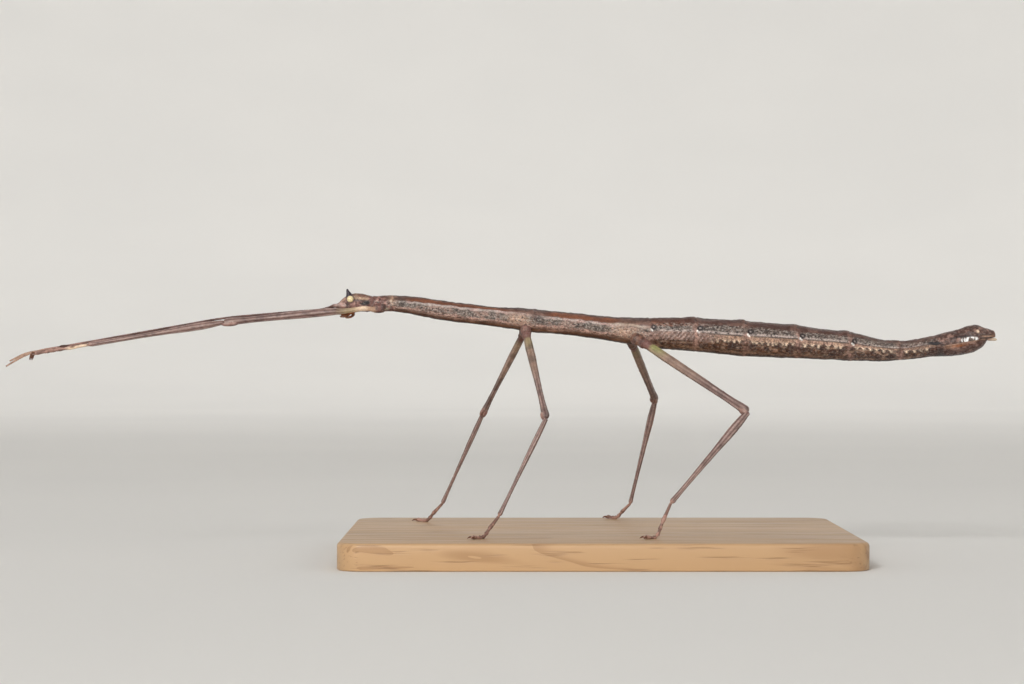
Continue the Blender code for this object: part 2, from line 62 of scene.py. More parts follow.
# The trunk from neck to tail tip: x, height of its axis, depth and width
TRUNK = np.array([
    (-34.1, 38.30, 2.30, 2.20),
    (-30.9, 38.30, 2.42, 2.40),
    (-24.0, 37.35, 2.95, 2.85),
    (-15.0, 36.25, 2.95, 3.00),
    (-11.0, 35.85, 3.40, 3.80),
    (-5.0, 35.30, 3.40, 3.45),
    (2.6, 34.40, 3.70, 3.90),
    (7.9, 33.90, 4.50, 4.85),
    (14.9, 33.60, 5.10, 5.35),
    (22.5, 33.00, 5.35, 5.60),
    (30.4, 32.50, 4.90, 5.15),
    (38.3, 31.80, 4.25, 4.50),
    (45.9, 31.15, 2.85, 3.30),
    (51.0, 31.90, 3.15, 3.50),
    (54.4, 32.40, 3.75, 3.60),
    (57.7, 33.20, 3.70, 3.10),
    (59.2, 33.40, 2.10, 2.30),
    (60.4, 33.55, 1.15, 1.40),
])
TRUNK_SIDES = 92
LIP_END, LIP_LENGTH, LIP_SHARE = -33.95, 0.2, 0.92
TIP_LENGTH = 0.3
# Where the trunk has more rings of points, from each border, and the least distance between two rings
BESIDE_BORDER = (-0.42, -0.24, -0.1, 0.0, 0.08, 0.16, 0.28)
LEAST_STEP = 0.02
WRINKLE_STEP = 0.75
THORAX_BORDERS = (-30.9, -9.6, 7.9)
ABDOMEN_BORDERS = (14.9, 22.5, 30.4, 38.3, 45.9, 51.0, 54.4, 57.7)
BORDERS = THORAX_BORDERS + ABDOMEN_BORDERS
# Borders with a hump before them, with ringed spots, with a pinkish column, and those of the scalloped band
HUMPED_BORDERS, SPOTTED_BORDERS = ABDOMEN_BORDERS[:5], BORDERS[2:7]
PINK_BORDERS, BAND_BORDERS = BORDERS[2:8], BORDERS[3:9]
# Where the band's teeth become wider, and the step between two teeth before and behind that place
WIDE_TEETH, TOOTH_STEP, DOT_STEP = 30.4, 0.78, 1.1

# The plate under the tail, below a sloping line
OPERCULUM_START, OPERCULUM_END = 51.0, 59.3
TAIL_SPLIT_FRONT, TAIL_SPLIT_REAR = 31.7, 33.1
PLATE_RINGS, PLATE_SIDES = 90, 64
CERCUS_ROUTE = ((59.0, 0.42, 33.05), (59.8, 0.5, 32.95), (60.55, 0.5, 32.85))

# The head from the neck forward: x, height of its axis, depth and width
HEAD = np.array([
    (-33.7, 38.3, 2.06, 1.98),
    (-34.2, 38.31, 2.24, 2.12),
    (-34.7, 38.36, 2.46, 2.26),
    (-36.0, 38.50, 2.72, 2.45),
    (-37.3, 38.45, 2.72, 2.35),
    (-38.3, 38.18, 2.40, 2.10),
    (-39.1, 37.80, 1.75, 1.65),
    (-39.6, 37.60, 1.10, 1.15),
    (-39.75, 37.55, 0.5, 0.6),
])
EYE_PLACE = (-37.5, 1.0, 39.0)
EYE_RIM = 0.56
HEAD_SIDES, HEAD_SQUARE = 72, 2.4
HORN_ROUTE = ((-37.6, 0.5, 39.1), (-37.72, 0.55, 39.55), (-37.9, 0.62, 40.1), (-38.02, 0.66, 40.57))
# Thickness along a horn, as a share of its full thickness
HORN_TAPER = ((0, 1.5), (0.33, 1.0), (0.5, 0.74), (0.72, 0.5), (0.9, 0.28), (0.97, 0.16), (1, 0.02))
HEAD_WARTS = ((-34.65, 0.7, 39.35), (-34.6, 1.0, 38.95), (-35.3, 0.6, 39.6), (-35.0, 1.1, 38.55))
JAW_ROUTE = ((-37.9, 0, 37.5), (-38.2, 0, 36.9), (-38.15, 0, 36.25))
JAW_SIZE = (1.7, 1.75, 1.75, 1.7, 1.5, 1.1, 0.5)
# Centre and radii of the balls on either side of the jaws
MOUTH_BALLS = {
    "jaw": ((-38.65, 0.5, 36.65), (0.3, 0.24, 0.46)),
    "cheek": ((-37.3, 0.62, 37.05), (0.42, 0.3, 0.4)),
}
PALP_ROUTES = (
    ((-37.6, 0.5, 36.9), (-38.0, 0.8, 36.55), (-38.6, 0.8, 36.4), (-39.1, 0.65, 36.35)),
    ((-37.0, 0.4, 36.85), (-37.2, 0.6, 36.5), (-37.7, 0.55, 36.25), (-38.3, 0.4, 36.2)),
)

# Feelers, which lie along the upper inner side of the forelegs between two places along X
FEELER_ROOT = (-37.85, 0.62, 37.95)
SCAPE_END = (-39.6, 0.95, 38.05)
FEELER_LIES = (-42, -84.6)
FEELER_SPREAD = 0.62
FEELER_TIPS = {"left": (-89.8, 0.35, 28.8), "right": (-89.4, 0.5, 29.6)}
# Thickness along a feeler, as a share of its full thickness
FEELER_TAPER = ((0, 1.6), (0.006, 2.6), (0.014, 3.0), (0.026, 2.5), (0.034, 1.6), (0.043, 1.9),
                (0.052, 1.15), (0.3, 1), (0.9, 1.0), (0.96, 1.1), (1, 0.7))
FEELER_JOINTS = 64
# Rings of points of its thick first joints and, as shares of a joint, of the others, with their thickness
SCAPE_RINGS = (0, 0.004, 0.009, 0.014, 0.019, 0.024, 0.027, 0.03, 0.033, 0.037, 0.041, 0.045, 0.05)
JOINT_RINGS = ((0, 0.86), (0.12, 1.0), (0.5, 1.02), (0.88, 1.06))

# Legs, on the right side: each hip, and the trochanter, knee, ankle and toe of the leg on either side
HIPS = {"fore": (-32.4, 1.0, 37.7), "mid": (-11.0, 1.3, 34.7), "hind": (5.2, 1.4, 33.3)}
FORELEG = ((-34.1, 1.65, 37.4), (-56.7, 0.95, 35.5), (-77.3, 0.95, 32.1), (-85.4, 0.95, 30.8))
LEG_JOINTS = {
    ("fore", "left"): FORELEG,
    ("fore", "right"): FORELEG,
    ("mid", "left"): ((-10.8, 3.1, 33.4), (-8.0, 14.9, 21.3), (-14.9, 18.4, 7.2), (-18.6, 21.6, 4.33)),
    ("mid", "right"): ((-11.4, 3.1, 33.4), (-17.6, 13.4, 21.2), (-24.0, 16.6, 7.0), (-28.0, 19.4, 4.33)),
    ("hind", "left"): ((7.3, 3.2, 32.1), (21.8, 12.6, 22.2), (10.1, 18.6, 9.1), (6.3, 21.2, 4.33)),
    ("hind", "right"): ((5.5, 3.3, 31.9), (9.8, 20.8, 23.3), (5.9, 23.3, 6.6), (2.4, 26.6, 4.33)),
}
# The bend of the foreleg's thigh beside the head, and half the foreleg's depth from there to its toe
FORE_BEND = ((-35.3, 2.0, 37.58), (-37.2, 2.15, 37.32), (-39.0, 1.9, 37.12), (-41.6, 1.15, 37.0))
FORELEG_HALF = (0.6, 0.62, 0.4, 0.31)
# Depth along a thigh and a shin
FEMUR_DEPTH = {
    "fore": ((0, 0.75), (0.14, 0.75), (0.30, 1.20), (0.90, 1.12), (0.96, 1.25), (1, 1.0)),
    "mid": ((0, 1.15), (0.1, 1.25), (0.88, 1.05), (0.96, 1.22), (1, 1.2)),
    "hind": ((0, 1.2), (0.1, 1.35), (0.3, 1.4), (0.5, 1.3), (0.88, 1.25), (0.96, 1.4), (1, 1.3)),
}
TIBIA_DEPTH = {
    "fore": ((0, 0.6), (0.10, 1.05), (0.30, 1.10), (0.42, 0.87), (1, 0.75)),
    "mid": ((0, 0.75), (0.1, 0.85), (0.95, 0.75), (1, 0.85)),
    "hind": ((0, 0.85), (0.08, 1.15), (0.5, 0.9), (0.95, 0.8), (1, 0.9)),
}
COXA_THICK = {"fore": 1.25, "mid": 1.6, "hind": 1.8}
LOBE_REACH = {"fore": 1.25, "mid": 0.85, "hind": 0.85}
LIMB_WIDTH = 0.85
LIMB_SIDES, KEELS, GROOVE = 24, 6, 0.13
TARSUS_THICK = 0.62
TARSUS_ENDS = (0.0, 0.42, 0.58, 0.70, 0.80, 0.99)
TARSUS_FLAT = 1.9
# Thickness along a foot's joint, as a share of its full thickness
TARSUS_TAPER = ((0, 0.2), (0.02, 0.55), (0.06, 0.68), (0.2, 0.72), (0.45, 0.76), (0.7, 0.92), (0.88, 1.05),
                (0.97, 0.9), (1, 0.3))
CLAW_REACH, CLAW_SPREAD = 0.95, 0.4
CLAW_DROP = {"fore": 0.95, "mid": 0.2, "hind": 0.2}

# Shares of pale specks, dark specks and of gloss with painted glints, for the pieces outside the trunk
HEAD_SPECKS, PLATE_SPECKS = (0.3, 0.35, 0), (0.2, 0.35, 0)
HIP_SPECKS, KNOB_SPECKS, LEG_SPECKS = (0.3, 0.4, 0), (0.2, 0.2, 0), (0.12, 0.25, 0)

# The base's corners, the rounding of its edges and the points of each corner
BASE_CORNER, BASE_EDGE, BASE_STEPS = 4.0, 0.6, 14
# The wood's own shade, the worn one, and those of the late rings and the pores
WOOD_SHADES = (1, 0.82, (0.55, 0.46, 0.38), (0.35, 0.27, 0.2))

# The studio in metres: the wall's distance, the bend at its foot, its height, and points all round
WALL_AWAY, WALL_BEND, WALL_TOP, WALL_SIDES = 2.6, 1.6, 2.8, 96
INSECT_MIDDLE = (0.0, 0.0, 0.03)
# Place, target and size of each light
LIGHTS = {
    "key": ((-0.8, -2.2, 1.2), INSECT_MIDDLE, 0.8),
    "fill": ((1.5, -1.5, 0.5), INSECT_MIDDLE, 1.2),
    "rim": ((0.4, 0.9, 1.1), INSECT_MIDDLE, 0.6),
    "wall": ((0.0, 1.1, 1.1), (0.0, 2.4, 0.2), 1.4),
}


def srgb(red, green, blue):
    """A screen colour from 0 to 255, as the linear values that a material takes."""
    value = np.array((red, green, blue)) / 255
    return tuple(np.where(value < 0.04045, value / 12.92, ((value + 0.055) / 1.055) ** 2.4))


def paint(name, description, *screen):
    """A colour that a user may change."""
    return bpy.props.FloatVectorProperty(name=name, description=description, subtype="COLOR", size=3,
                                         min=0, max=1, default=srgb(*screen))


def length(name, description, default):
    """A length that a user may change."""
    return bpy.props.FloatProperty(name=name, description=description, default=default, min=0,
                                   subtype="DISTANCE", unit="LENGTH", precision=5)


def power(name, description, default):
    """The power of a light that a user may change."""
    return bpy.props.FloatProperty(name=name, description=description, default=default,
                                   subtype="POWER", unit="POWER")


class InsectSizes(bpy.types.PropertyGroup):
    """Sizes of the insect's pieces that a user may change."""

    trunk_step: length("Trunk step", "Distance between the rings of points along the trunk", 0.17 * MM)
    leg_step: length("Leg step", "Distance between the rings of points along a leg", 0.32 * MM)
    eye_radius: length("Eye radius", "Radius of each eye", 0.54 * MM)
    horn_thick: length("Horn thickness", "Thickness of each horn near its root", 0.95 * MM)
    feeler_thick: length("Feeler thickness", "Thickness of a feeler past its first joints", 0.3 * MM)
    claw_thick: length("Claw thickness", "Thickness of each claw at its root", 0.3 * MM)
    granule: length("Granule", "Distance between the larger granules of the cuticle", 0.42 * MM)


class InsectColours(bpy.types.PropertyGroup):
    """Colours of the insect and its base that a user may change."""

    # Back also serves as painted shade along the very top of the thorax
    back: paint("Back", "Purple-brown of the upper side of the abdomen", 80, 54, 47)
    stripe: paint("Stripe", "Red-brown stripe along the back of the thorax", 126, 78, 56)
    # Side also serves as the painted sheen in the tail's glossy hollow
    side: paint("Side", "Grey-olive of the side of the thorax", 108, 94, 86)
    ridge: paint("Ridge", "Pink-tan of the lower ridge and the leg ridges", 166, 130, 116)
    tan: paint("Tan", "Warm tan of the side band and the hips", 178, 144, 120)
    cream: paint("Cream", "Pale dots and patches", 236, 210, 182)
    pink: paint("Pink", "Pinkish lumps of the head and the plate behind it", 184, 138, 128)
    silver: paint("Silver", "Silvery line of the sides", 186, 168, 160)
    pale: paint("Pale", "Pale granules", 202, 184, 160)
    # White serves only as painted highlight: glints at the abdomen's borders and on the feelers' first joints
    white: paint("White", "White wedges and glints", 232, 228, 222)
    # Mottle also serves as painted shade along the top of the thorax and the abdomen
    mottle: paint("Mottle", "Dark brown mottle of the lower side", 72, 44, 36)
    belly: paint("Belly", "Orange-brown of the underside", 108, 72, 50)
    # Dark also serves as painted shade at the very bottom of the thorax and the abdomen
    dark: paint("Dark", "Near black of the lines and marks", 32, 25, 27)
    leg: paint("Leg", "Mauve-brown of the legs", 126, 94, 88)
    green: paint("Green", "Green at the root of the hind legs", 150, 148, 92)
    head: paint("Head", "Mauve-brown of the cheeks", 116, 80, 73)
    eye: paint("Eye", "Pale cream-yellow of the eyes", 236, 218, 170)
    horn: paint("Horn", "Purple-black of the horns", 46, 36, 46)
    mouth: paint("Mouth", "Orange-brown of the mouthparts", 152, 92, 56)
    claw: paint("Claw", "Brown of the claws", 92, 52, 36)
    wood: paint("Wood", "Pale oiled wood of the base", 196, 158, 116)


class StageSettings(bpy.types.PropertyGroup):
    """The studio round the insect."""

    floor: paint("Floor", "Pale floor and backdrop", 230, 228, 224)
    camera: bpy.props.FloatVectorProperty(
        name="Camera", description="Place of the camera, level with the insect", subtype="TRANSLATION",
        unit="LENGTH", default=(-0.013, -0.432, 0.0325))
    lens: bpy.props.FloatProperty(name="Lens", description="Focal length in millimetres", default=100,
                                  subtype="DISTANCE_CAMERA")
    key: power("Key light", "Power of the main light", 54)
    fill: power("Fill light", "Power of the soft side light", 10)
    rim: power("Rim light", "Power of the light from behind", 1.2)
    wall: power("Wall light", "Power of the light on the backdrop", 6)


# Shapes by formula

def unit(vector):
    """Vectors of length 1 in the same directions."""
    return vector / np.linalg.norm(vector, axis=-1, keepdims=True)


def fade(low, high, value):
    """0 below low and 1 above high, on a smooth step between. It falls where low is above high."""
    t = np.clip((value - low) / (high - low), 0, 1)
    return t * t * (3 - 2 * t)


def hump(value, centre, reach):
    """A bell curve of height 1: e to the minus square of the distance over the reach."""
    return np.exp(-(((value - centre) / reach) ** 2))


def smooth(x, table):
    """The table's other columns at x, on cubic curves whose slopes are the central differences."""
    table = np.asarray(table, float)
    table = table[np.argsort(table[:, 0])]
    places, values = table[:, 0], table[:, 1:]
    slopes = np.gradient(values, places, axis=0)
    row = np.clip(np.searchsorted(places, x) - 1, 0, len(places) - 2)
    span = (places[row + 1] - places[row])[:, None]
    t = ((x - places[row]) / (places[row + 1] - places[row]))[:, None]
    ease = t * t * (3 - 2 * t)
    bends = t * (1 - t) ** 2 * slopes[row] + t * t * (t - 1) * slopes[row + 1]
    return values[row] * (1 - ease) + values[row + 1] * ease + span * bends


def lengths(line):
    """The length along a line up to each of its points."""
    return np.concatenate([[0], np.cumsum(np.linalg.norm(np.diff(line, axis=0), axis=1))])


def curve_through(points, shares):
    """Places at the given shares of the length of a Catmull-Rom curve through the points."""
    points = np.asarray(points, float)
    ends = np.vstack([2 * points[0] - points[1], points, 2 * points[-1] - points[-2]])
    t = np.linspace(0, 1, 33)[:-1, None]
    runs = [
        0.5 * (2 * b + (c - a) * t + (2 * a - 5 * b + 4 * c - d) * t**2 + (3 * b - a - 3 * c + d) * t**3)
        for a, b, c, d in zip(ends, ends[1:], ends[2:], ends[3:])
    ]
    line = np.vstack([*runs, points[-1:]])
    reach = lengths(line)
    wanted = np.asarray(shares) * reach[-1]
    return np.stack([np.interp(wanted, reach, line[:, k]) for k in range(3)], axis=1)


def lattice(cell, seed):
    """A fixed number from 0 to 1 for each whole-number cell, by mixing the bits of its coordinates."""
    mixed = cell[..., 0] * 73856093 ^ cell[..., 1] * 19349663 ^ cell[..., 2] * 83492791 ^ seed * 2654435761
    mixed = (mixed ^ (mixed >> 13)) * 1274126177
    mixed = mixed ^ (mixed >> 16)
    return (mixed & 0xFFFFFF) / 0x1000000


CUBE = np.array([(i, j, k) for i in (0, 1) for j in (0, 1) for k in (0, 1)])
NEAR = np.array([(i, j, k) for i in (-1, 0, 1) for j in (-1, 0, 1) for k in (-1, 0, 1)])


def noise(points, size, seed=1):
    """Value noise from -1 to 1: the lattice's numbers at a cell's eight corners, blended smoothly."""
    place = points / size
    cell = np.floor(place).astype(np.int64)
    t = place - cell
    t = t * t * (3 - 2 * t)
    total = 0
    for corner in CUBE:
        weight = np.prod(np.where(corner == 1, t, 1 - t), axis=-1)
        total = total + weight * lattice(cell + corner, seed)
    return total * 2 - 1


def granules(points, size, seed=1):
    """Round domes about size apart: 1 at the nearest of one random place a cell, 0 at 0.6 of size from it."""
    place = points / size
    cell = np.floor(place).astype(np.int64)
    nearest = np.full(place.shape[:-1], 9.0)
    for step in NEAR:
        here = cell + step
        centre = here + np.stack([lattice(here, seed + k) for k in range(3)], axis=-1)
        nearest = np.minimum(nearest, np.linalg.norm(place - centre, axis=-1))
    return np.clip(1 - (nearest / 0.6) ** 2, 0, 1)


def mirrored(places, side):
    """One place or more, written for the right side (1), as they lie on the given side."""
    return np.asarray(places, float) * (1, side, 1)


def pair(place):
    """The same place on the left and on the right."""
    return [mirrored(place, side) for side in SIDES.values()]


def carried(path, depth, width, section, side=(0, 1, 0)):
    """Rings of one section carried along a path. Each ring stands square to the path.

    The section's first number is scaled by half the width along the side direction, and its second by
    half the depth along the direction square to it.
    """
    path = np.asarray(path, float)
    along = unit(np.gradient(path, axis=0))
    up = unit(np.cross(along, np.asarray(side, float)))
    out = np.cross(up, along)
    depth = np.broadcast_to(depth, len(path))[:, None, None] / 2
    width = np.broadcast_to(width, len(path))[:, None, None] / 2
    return path[:, None] + section[..., :1] * out[:, None] * width + section[..., 1:] * up[:, None] * depth


def turns(sides):
    """Angles evenly spaced round a circle."""
    return np.arange(sides) * 2 * np.pi / sides


def round_section(sides):
    """A circle of radius 1."""
    return np.stack([np.cos(turns(sides)), np.sin(turns(sides))], axis=1)


def rod(route, shares, thick, sides, flat=1.0, side=(0, 1, 0)):
    """Rings of a round rod along a route. Its width is the flat share of its depth."""
    return carried(curve_through(route, shares), thick, thick * flat, round_section(sides), side)


def ovals(x, across, up, axis, half_depth, half_width):
    """Points of the oval section at each x. Each lies at a share across and a share up."""
    flat_x = np.broadcast_to(x[:, None], (len(x), across.shape[1]))
    return np.stack([flat_x, across * half_width, axis + up * half_depth], axis=-1)


def swollen(rings, share):
    """Moves each point away from its ring's middle by a share of its distance from it."""
    middle = rings.mean(axis=1, keepdims=True)
    return middle + (rings - middle) * (1 + share[..., None])


def domed(total, front, rear, inner, steps=6):
    """Shares of a length, and the thickness there: an ellipse's quarter at each end and 1 between."""
    quarter = np.linspace(0.08, np.pi / 2, steps)
    start = front * (1 - np.cos(quarter)) / total
    finish = 1 - rear * (1 - np.cos(quarter[::-1])) / total
    middle = np.linspace(start[-1], finish[0], inner + 2)[1:-1]
    swell = np.concatenate([np.sin(quarter), np.ones(inner), np.sin(quarter[::-1])])
    return np.concatenate([start, middle, finish]), swell


def blob(centre, radii, sides=16, steps=9):
    """Rings of an ellipsoid, with its poles along Y."""
    turn = np.linspace(0.06, np.pi - 0.06, steps)[:, None]
    angle = turns(sides)[None]
    x = np.sin(turn) * np.cos(angle)
    z = np.sin(turn) * np.sin(angle)
    y = np.broadcast_to(np.cos(turn), x.shape)
    return np.asarray(centre) + np.stack([x, y, z], axis=-1) * np.asarray(radii)


def spots(points, places, reach):
    """A bell curve of height 1 over each place, the highest where they overlap."""
    shares = [np.exp(-(np.sum((points - np.asarray(place)) ** 2, axis=-1) / reach**2)) for place in places]
    return np.max(shares, axis=0)


# Meshes

def ring_corners(count, sides):
    """Numbers of the points of rings, and of the points that come after them round each ring."""
    corner = np.arange(count * sides).reshape(count, sides)
    return corner, np.roll(corner, -1, axis=1)


def ring_map(rings):
    """UV places of each quad's corners: centimetres along the surface and the share of the way round."""
    count, sides = rings.shape[:2]
    reach = np.broadcast_to(lengths(rings.mean(axis=1))[:, None] / 10, (count, sides))
    share = np.broadcast_to(np.arange(sides) / sides, (count - 1, sides))
    u = np.stack([reach[:-1], reach[:-1], reach[1:], reach[1:]], axis=-1)
    v = np.stack([share, share + 1 / sides, share + 1 / sides, share], axis=-1)
    return np.stack([u, v], axis=-1).reshape(-1, 4, 2)


def mesh_of(name, rings, colour, grain=0.0, specks=0.0):
    """A closed surface through rings of points in millimetres, with its colour at each point.

    The colour's fourth value is the grain. The specks are the shares of pale specks, dark specks and of gloss
    with painted glints.
    """
    count, sides = rings.shape[:2]
    corner, after = ring_corners(count, sides)
    quads = np.stack([corner[:-1], after[:-1], after[1:], corner[1:]], axis=-1).reshape(-1, 4)
    caps, places = [corner[0, ::-1], corner[-1]], ring_map(rings)
    points = rings.reshape(-1, 3) - rings.mean(axis=(0, 1))
    a, b, c = points[quads[:, 0]], points[quads[:, 1]], points[quads[:, 2]]
    inside_out = np.sum(a * np.cross(b, c)) < 0
    if inside_out:
        quads, places = quads[:, ::-1], places[:, ::-1]
        caps = [cap[::-1] for cap in caps]

    mesh = bpy.data.meshes.new(name)
    faces = [*quads.tolist(), *[cap.tolist() for cap in caps]]
    mesh.from_pydata((rings.reshape(-1, 3) * MM).tolist(), [], faces)
    for key, shade, last in (("markings", colour, grain), ("specks", specks, 0.0)):
        tint = np.empty((count, sides, 4))
        tint[..., :3] = shade
        tint[..., 3] = last
        mesh.attributes.new(key, "FLOAT_COLOR", "POINT").data.foreach_set("color", tint.ravel())
    ends = np.zeros((2 * sides, 2))
    ends[sides:, 0] = places[..., 0].max()
    flat = np.vstack([places.reshape(-1, 2), ends])
    mesh.uv_layers.new(name="around").data.foreach_set("uv", flat.ravel())
    return mesh


def linked(name, data):
    """A new object in the scene."""
    obj = bpy.data.objects.new(name, data)
    bpy.context.scene.collection.objects.link(obj)
    return obj


def surface(name, rings, colour, grain=0.0, specks=0.0):
    """A closed surface as an object in the scene."""
    return linked(name, mesh_of(name, rings, colour, grain, specks))


def recoloured(mesh):
    """Gives each point that a union added, which comes out white, the mean colour of its neighbours."""
    keys = ("markings", "specks")
    tint = np.empty((len(keys), len(mesh.vertices) * 4))
    for row, key in zip(tint, keys):
        mesh.attributes[key].data.foreach_get("color", row)
    tint = np.hstack([row.reshape(-1, 4) for row in tint])
    ends = np.empty(len(mesh.edges) * 2, int)
    mesh.edges.foreach_get("vertices", ends)
    ends = ends.reshape(-1, 2)
    ends = np.concatenate([ends, ends[:, ::-1]])
    lost = np.all(tint > 0.999, axis=1)
    while lost.any():
        useful = ends[lost[ends[:, 0]] & ~lost[ends[:, 1]]]
        if not len(useful):
            raise RuntimeError("a fused piece has points with no colour")
        total = np.zeros_like(tint)
        np.add.at(total, useful[:, 0], tint[useful[:, 1]])
        number = np.bincount(useful[:, 0], minlength=len(tint))
        found = number > 0
        tint[found] = total[found] / number[found, None]
        lost = lost & ~found
    for index, key in enumerate(keys):
        mesh.attributes[key].data.foreach_set("color", tint[:, 4 * index:4 * index + 4].ravel())


def fused(body, others):
    """One closed surface of the body and the others, which are then removed."""
    group = bpy.data.collections.new("to_fuse")
    bpy.context.scene.collection.children.link(group)
    for other in others:
        bpy.context.scene.collection.objects.unlink(other)
        group.objects.link(other)
    change = body.modifiers.new("fuse", "BOOLEAN")
    change.operation = "UNION"
    change.solver = "MANIFOLD"
    change.operand_type = "COLLECTION"
    change.collection = group
    evaluated = body.evaluated_get(bpy.context.evaluated_depsgraph_get())
    made = bpy.data.meshes.new_from_object(evaluated)
    body.modifiers.clear()
    body.data = made
    for other in others:
        bpy.data.objects.remove(other, do_unlink=True)
    bpy.data.collections.remove(group)
    if not made.polygons:
        raise RuntimeError(f"{body.name} couldn't be fused")
    recoloured(made)
    return body


def complete(obj, material, slot, *nodes, sharp=50):
    """Gives a piece its material, shades it and puts it in the place of its nodes."""
    obj.data.name = obj.name
    obj.data.materials.clear()
    obj.data.materials.append(material)
    obj.data.shade_smooth()
    obj.data.set_sharp_from_angle(angle=np.radians(sharp))
    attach(obj, "root")
    if nodes:
        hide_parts(*nodes)
    return obj


# Trunk

def tail_split(x):
    """Height of the line at which the tail plate meets the trunk."""
    share = (x - OPERCULUM_START) / (OPERCULUM_END - OPERCULUM_START)
    return TAIL_SPLIT_FRONT + share * (TAIL_SPLIT_REAR - TAIL_SPLIT_FRONT)


def blotches(points, size, seed, cover=0.5, run=1.0):
    """Soft-edged blotches over about the given share of a surface, drawn out along X by the run."""
    edge = 0.95 * (0.5 - cover)
    return fade(edge - 0.15, edge + 0.15, noise(points / (run, 1, 1), size, seed))


class Coat:
    """The colour of each point of a surface, laid on in coats."""

    def __init__(self, ink, name, points):
        self.ink = ink
        self.points = points
        self.colour = np.broadcast_to(ink[name], points.shape)

    def lay(self, name, share):
        """Blends the colour towards a named one by a share from 0 to 1 at each point."""
        self.cover(self.ink[name], share)

    def patch(self, name, share, size, seed, cover=0.5, run=1.0):
        """Lays blotches of a named colour, as strong as the share says."""
        self.lay(name, share * blotches(self.points, size, seed, cover, run))

    def cover(self, other, share):
        """Blends the colour towards other colours, one at each point."""
        share = np.clip(share, 0, 1)[..., None]
        self.colour = self.colour * (1 - share) + other * share


def trunk_form(x):
    """Axis, depth and width of the trunk at x, narrowed to a rounded lip at its very front."""
    axis, depth, width = smooth(np.maximum(x, TRUNK[0, 0]), TRUNK).T[..., None]
    lip = 0.84 + 0.16 * np.sqrt(1 - np.clip((LIP_END - x[:, None]) / LIP_LENGTH, 0, LIP_SHARE) ** 2)
    return axis, depth * lip, width * lip


def trunk_place(x, up, side):
    """The place on the trunk's smooth surface at x and at a height share up, on the left or right."""
    axis, depth, width = smooth(np.array([x]), TRUNK)[0]
    return (x, side * np.sqrt(1 - up * up) * width / 2, axis + up * depth / 2)


def both_sides(places):
    """Places on the trunk's left and right, each given by x and a height share."""
    return [trunk_place(x, up, side) for x, up in places for side in SIDES.values()]


def scattered(index, seed):
    """A fixed number from 0 to 1 for a pair of whole numbers."""
    return float(lattice(np.array([*index, 7]), seed))


def side_line(x):
    """Height share of the fine dark line along the side of the abdomen."""
    return np.interp(x, (8, 18, 26, 35, 43, 49), (0.1, 0.1, 0.15, 0.19, 0.25, 0.23))


def dot_line(x):
    """Height share of the row of cream dots under the side band."""
    return np.interp(x, (16, 18, 26, 35, 43, 46, 49), (-0.3, -0.28, -0.25, -0.18, -0.05, -0.1, -0.25))


def stripe_line(x):
    """Height share of the lower edge of the red-brown stripe along the thorax."""
    return np.interp(x, (-29, -23, -15, -8, 3), (0.45, 0.58, 0.72, 0.5, 0.52))


def slanting(x, points, jitter=0.0):
    """A wave from -1 to 1 along X that leans with the height."""
    return np.sin((x - 0.9 * points[..., 2]) * 2 * np.pi / WRINKLE_STEP + jitter)


def border_columns(x):
    """How much a place lies in the pinkish band that runs round the body before each border."""
    return sum(hump(x, border - 0.15, 0.45) for border in PINK_BORDERS)


def side_teeth():
    """Places along X of the teeth under the side band, evenly spaced in each segment with a jitter."""
    places = []
    for index, (start, end) in enumerate(zip(BAND_BORDERS, BAND_BORDERS[1:])):
        step = TOOTH_STEP if start < WIDE_TEETH else DOT_STEP
        count = int((end - start - 0.6) / step)
        for tooth in range(2 * (index == 0), count):
            jitter = 0.5 * step * (scattered((index, tooth), 2) - 0.5)
            places.append(start + 0.7 + tooth * (end - start - 1.0) / count + jitter)
    return np.array(places)


def side_dots(large):
    """Places of the cream dots at the points of the teeth: the large ones of the rear or the small ones."""
    teeth = [x for x in side_teeth() if (x > WIDE_TEETH) == large]
    return both_sides([(x, dot_line(x) + 0.03 * np.sin(9 * x)) for x in teeth])


def border_spots(up, offset):
    """Places at a height share and at a distance behind each of the trunk's borders that carry spots."""
    return both_sides([(border + offset, up) for border in SPOTTED_BORDERS])


# Lumps of the pronotum and the rear of the head: x, height share, how far they stand out, and reach
LUMPS = (
    (-33.4, 0.42, 0.18, 0.28), (-33.15, 0.8, 0.11, 0.24), (-32.2, 0.1, 0.17, 0.28),
    (-31.35, 0.3, 0.14, 0.2), (-31.05, 0.75, 0.13, 0.22), (-33.75, 0.0, 0.13, 0.22),
    (-32.75, 0.62, 0.1, 0.18), (-31.7, -0.35, 0.13, 0.28),
)


